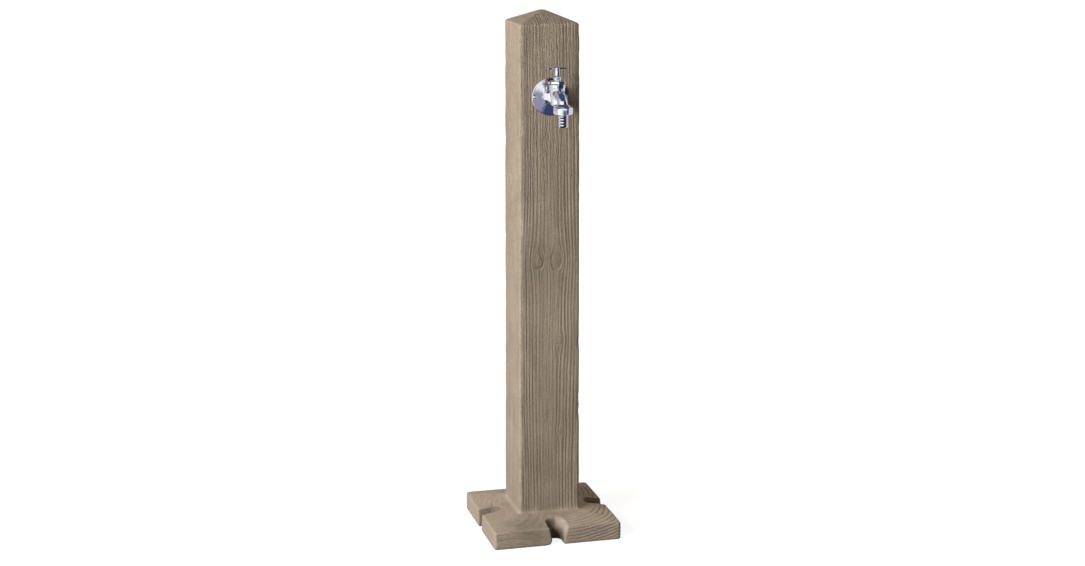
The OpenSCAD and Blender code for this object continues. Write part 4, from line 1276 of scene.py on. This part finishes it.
def galvanised(finishes):
    """Hot-dipped zinc: patches of grey, a chalky bloom and bright edges."""
    material, shader, place = new_material("galvanised", 0.42, metallic=0.9)
    spangle = use("Zinc Spangle", place, Size=150.0)
    smudge = use("Smudges", place, Size=45.0)
    wear = use("Edge Wear", place, Reach=0.08, Break=300.0)
    colour = coat(times(finishes.zinc, 0.72), (spangle, times(finishes.zinc, 1.2)),
                  (smudge * 0.4, (0.62, 0.63, 0.62)), (wear * 0.5, (0.75, 0.76, 0.77)))
    feed(shader, colour, spangle * 0.16 + 0.30 + smudge * 0.2)
    raise_surface(shader, spangle["Height"], 0.00008, 0.4)
    return material


def moulded(name, colour, roughness, grain_size, contrast):
    """Moulded nylon, rubber or pressed fibre: a fine matt grain with scuffs and light edges."""
    material, shader, place = new_material(name, roughness, specular=0.4)
    grit = use("Mineral Speckle", place, Grit=grain_size)
    smudge = use("Smudges", place, Size=60.0)
    wear = use("Edge Wear", place, Reach=0.09, Break=260.0)
    mixed = coat(times(colour, 1 - contrast), (grit, times(colour, 1 + contrast)),
                 (smudge * 0.3, times(colour, 1.5)), (wear * 0.4, times(colour, 1.9)))
    feed(shader, mixed, smudge.ramp(0.0, 1.0, roughness - 0.08, roughness + 0.1))
    raise_surface(shader, grit["Height"], 0.00012, 0.5)
    return material


def make_finishes(finishes):
    for name, (work_out, numbers) in GROUPS.items():
        make_group(name, work_out, numbers)
    materials.update({
        "cast_stone": cast_stone(finishes),
        "chromed_brass": chrome_plate(finishes),
        "raw_brass": bare_brass(finishes),
        "galvanised_steel": galvanised(finishes),
        "nylon": moulded("nylon_plug", finishes.nylon, 0.5, 700.0, 0.1),
        "black_rubber": moulded("rubber_washer", finishes.rubber, 0.7, 1300.0, 0.3),
        "red_fibre": moulded("fibre_ring", finishes.fibre, 0.8, 1600.0, 0.35),
    })


# The studio

# Soft boxes and dark cards that bare metal sees: turn from the front to the right, height, edge, colour
CARDS = [
    ((-190, -115), (-8, 36), 12, (0.42, 0.43, 0.50)),
    ((115, 190), (-8, 36), 12, (0.42, 0.43, 0.50)),
    ((-190, 190), (36, 100), 8, (0.055, 0.075, 0.17)),
    ((-84, 8), (-75, 44), 6, (1.0, 1.0, 1.02)),
    ((-80, -22), (-26, 36), 6, (1.35, 1.35, 1.35)),
    ((-14.5, 84), (-85, -3.5), 3, (0.05, 0.06, 0.15)),
    ((7, 84), (-12, 36), 2.5, (0.028, 0.03, 0.06)),
    ((-9, 5), (-32, 1.5), 4, (0.32, 0.33, 0.44)),
    ((-118, 84), (-95, -33), 3, (0.02, 0.02, 0.05)),
    ((-190, 190), (-95, -66), 5, (0.62, 0.59, 0.66)),
    ((8, 30), (-10, 84), 3, (0.02, 0.02, 0.045)),
    ((86, 118), (-60, 40), 6, (0.74, 0.72, 0.82)),
]

# The point that the lamps face
LAMP_TARGET = Vector((0, 0, 0.55))

# Lamps: turn from the front to the right, height, distance, size and tint
LAMPS = {
    "key": (-45, 21, 3.5, 0.75, (1.0, 1.0, 1.0)),
    "side": (-74, 20, 3.2, 1.4, (1.0, 1.01, 1.07)),
    "back": (140, 12, 3.5, 1.8, (1.0, 0.97, 0.93)),
}


def soft_lamp(name, level, turn, height, distance, size, tint):
    """A square lamp that lights a surface facing it at a level, where 1 shows a colour as it is written."""
    turn, height = math.radians(turn), math.radians(height)
    way = Vector((math.sin(turn) * math.cos(height), -math.cos(turn) * math.cos(height), math.sin(height)))
    lamp_data = bpy.data.lights.new(name, "AREA")
    lamp_data.shape, lamp_data.size, lamp_data.color = "SQUARE", size, tint
    lamp_data.energy = level * math.pi ** 2 * distance ** 2
    lamp = bpy.data.objects.new(name, lamp_data)
    bpy.context.scene.collection.objects.link(lamp)
    lamp.location = LAMP_TARGET + way * distance
    lamp.rotation_mode = "QUATERNION"
    lamp.rotation_quaternion = (LAMP_TARGET - lamp.location).to_track_quat("-Z", "Y")
    lamp.visible_glossy = False


def seen_directly(tree):
    rays = add(tree, "ShaderNodeLightPath")
    return rays["Is Camera Ray"].maths("MAXIMUM", rays["Is Transmission Ray"])


def make_world(ambient):
    """White behind the object, soft grey on matt surfaces, and soft boxes and cards in bare metal."""
    make_group("Studio Card", studio_card, CARD_INPUTS, placed=False)
    world = bpy.data.worlds.new("studio")
    bpy.context.scene.world = world
    world.use_nodes = True
    tree = world.node_tree
    way = split(add(tree, "ShaderNodeTexCoord", output="Generated"))
    turn = way.maths("ARCTAN2", way[1] * -1.0) * math.degrees(1)
    height = way[2].maths("ARCSINE") * math.degrees(1)
    seen = (0.80, 0.81, 0.84)
    for sides, heights, edge, tone in CARDS:
        inputs = dict(zip(CARD_INPUTS, (turn, height, *sides, *heights, edge)))
        seen = blend(add(tree, "ShaderNodeGroup", inputs, node_tree=effects["Studio Card"]), seen, tone)
    glossy = add(tree, "ShaderNodeLightPath", output="Is Glossy Ray")
    shown = blend(glossy, (1.08 * ambient, 0.90 * ambient, 0.66 * ambient), seen)
    shown = blend(seen_directly(tree), shown, (1.0, 1.0, 1.0))
    tree.links.new(shown.socket, tree.nodes["Background"].inputs["Color"])


def make_floor():
    """A wide pale floor that shows white where the lamps reach it and keeps the object's shadow."""
    bm = bmesh.new()
    bmesh.ops.create_grid(bm, x_segments=8, y_segments=8, size=9.0)
    bmesh.ops.translate(bm, vec=(0, 0, -0.0004), verts=bm.verts)
    floor = new_object("floor", bm)
    material, shader, place = new_material("pale_floor", 0.8, specular=0.0)
    tree = place.tree
    feed(shader, blend(noise(place, 3.0), (0.27, 0.27, 0.27), (0.29, 0.29, 0.29)))
    away = vector("LENGTH", place, (0.0, 0.0, 0.0), "Value")
    glow = seen_directly(tree) * away.ramp(0.3, 1.1, 0.87, 1.0)
    tree.links.new(glow.socket, shader.inputs["Emission Strength"])
    shader.inputs["Emission Color"].default_value = (1, 1, 1, 1)
    floor.data.materials.append(material)
    floor.visible_glossy = False


def make_camera(studio):
    data = bpy.data.cameras.new("camera")
    data.lens, data.sensor_width, data.sensor_fit = studio.camera_lens, 36.0, "HORIZONTAL"
    data.clip_start, data.clip_end = 0.1, 60.0
    camera = bpy.data.objects.new("camera", data)
    scene = bpy.context.scene
    scene.collection.objects.link(camera)
    camera.location = studio.camera_place
    camera.rotation_euler = (math.pi / 2 - studio.camera_pitch, 0.0, studio.camera_yaw)
    scene.camera = camera
    scene.view_settings.view_transform = "Standard"


# Operators


def fit(name, bm, body, node, slot="chromed_brass"):
    """Makes a piece's object, gives it its finish, hangs it under its body's empty and hides the CAD node
    that it stands for.
    """
    piece = new_object(name, bm)
    piece.data.materials.append(materials[slot])
    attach(piece, body)
    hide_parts(node)


class TAPPOST_OT_finishes(bpy.types.Operator):
    """Make the materials and give them to the inner pieces of the frame"""

    bl_idname = "tappost.finishes"
    bl_label = "Finishes"

    def execute(self, context):
        make_finishes(context.scene.tappost_finishes)
        slots = {part["node"]: part["material_slot"] for part in frame["record"]["subparts"]}
        for name, node in frame["nodes"].items():
            node.data.materials.clear()
            node.data.materials.append(materials[slots[name]])
        return {"FINISHED"}


class TAPPOST_OT_casting(bpy.types.Operator):
    """Make the cast stone post with its foot, cap, slots and wood grain"""

    bl_idname = "tappost.casting"
    bl_label = "Casting"

    def execute(self, context):
        scene = context.scene
        groups = map(Millimetres, (scene.tappost_post, scene.tappost_grain, scene.tappost_tap))
        fit("stone_post", build_casting(*groups), "post", "post_casting", "cast_stone")
        return {"FINISHED"}


class TAPPOST_OT_rosette(bpy.types.Operator):
    """Make the rosette on the wall and its two screws"""

    bl_idname = "tappost.rosette"
    bl_label = "Rosette"

    def execute(self, context):
        tap = Millimetres(context.scene.tappost_tap)
        fit("rosette_plate", build_rosette(tap), "post", "rosette")
        fit("rosette_pan_screws", build_rosette_screws(tap), "post", "rosette_screws")
        return {"FINISHED"}


class TAPPOST_OT_tap(bpy.types.Operator):
    """Make the tap's body, headwork and gland nut"""

    bl_idname = "tappost.tap"
    bl_label = "Tap"

    def execute(self, context):
        tap = Millimetres(context.scene.tappost_tap)
        fit("bib_body", build_tap_body(tap), "post", "tap_body")
        fit("headwork_hexagon", build_headwork(tap), "post", "headwork")
        fit("gland_hexagon", build_gland_nut(tap), "post", "gland_nut")
        return {"FINISHED"}


class TAPPOST_OT_handle(bpy.types.Operator):
    """Make the T handle and its screw"""

    bl_idname = "tappost.handle"
    bl_label = "T handle"

    def execute(self, context):
        tap = Millimetres(context.scene.tappost_tap)
        fit("tee_handle", build_handle(tap), "spindle", "t_handle")
        fit("tee_handle_screw", build_handle_screw(tap), "spindle", "handle_screw")
        return {"FINISHED"}


class TAPPOST_OT_union(bpy.types.Operator):
    """Make the union nut and the hose tail"""

    bl_idname = "tappost.union"
    bl_label = "Hose union"

    def execute(self, context):
        tap = Millimetres(context.scene.tappost_tap)
        fit("union_hexagon", build_union_nut(tap), "nut", "union_nut")
        fit("ribbed_hose_tail", build_hose_tail(tap), "tail", "hose_tail")
        return {"FINISHED"}


class TAPPOST_OT_studio(bpy.types.Operator):
    """Make the floor, the lamps, the world and the camera"""

    bl_idname = "tappost.studio"
    bl_label = "Studio"

    def execute(self, context):
        studio = context.scene.tappost_studio
        make_floor()
        for name, lamp in LAMPS.items():
            soft_lamp(name, getattr(studio, name), *lamp)
        make_world(studio.ambient)
        make_camera(studio)
        return {"FINISHED"}


class TAPPOST_PT_panel(bpy.types.Panel):
    """Lists the pieces of the post and the studio"""

    bl_label = "Garden Tap Post"
    bl_idname = "TAPPOST_PT_panel"
    bl_space_type = "VIEW_3D"
    bl_region_type = "UI"
    bl_category = "Tap Post"

    def draw(self, context):
        for operator in OPERATORS:
            self.layout.operator(operator.bl_idname)
        for settings in SETTINGS:
            group = getattr(context.scene, settings)
            box = self.layout.box()
            for name in group.__annotations__:
                box.prop(group, name)


OPERATORS = (TAPPOST_OT_finishes, TAPPOST_OT_casting, TAPPOST_OT_rosette, TAPPOST_OT_tap, TAPPOST_OT_handle,
             TAPPOST_OT_union, TAPPOST_OT_studio)
SETTINGS = {"tappost_post": PostSizes, "tappost_grain": GrainSizes, "tappost_tap": TapSizes,
            "tappost_finishes": Finishes, "tappost_studio": StudioSizes}
CLASSES = (*SETTINGS.values(), *OPERATORS, TAPPOST_PT_panel)


def register():
    for made in CLASSES:
        bpy.utils.register_class(made)
    for name, group in SETTINGS.items():
        setattr(bpy.types.Scene, name, PointerProperty(type=group))


def unregister():
    for name in SETTINGS:
        delattr(bpy.types.Scene, name)
    for made in reversed(CLASSES):
        bpy.utils.unregister_class(made)


def main():
    register()
    bpy.ops.tappost.finishes()
    bpy.ops.tappost.casting()
    bpy.ops.tappost.rosette()
    bpy.ops.tappost.tap()
    bpy.ops.tappost.handle()
    bpy.ops.tappost.union()
    bpy.ops.tappost.studio()


if __name__ == "__main__":
    main()
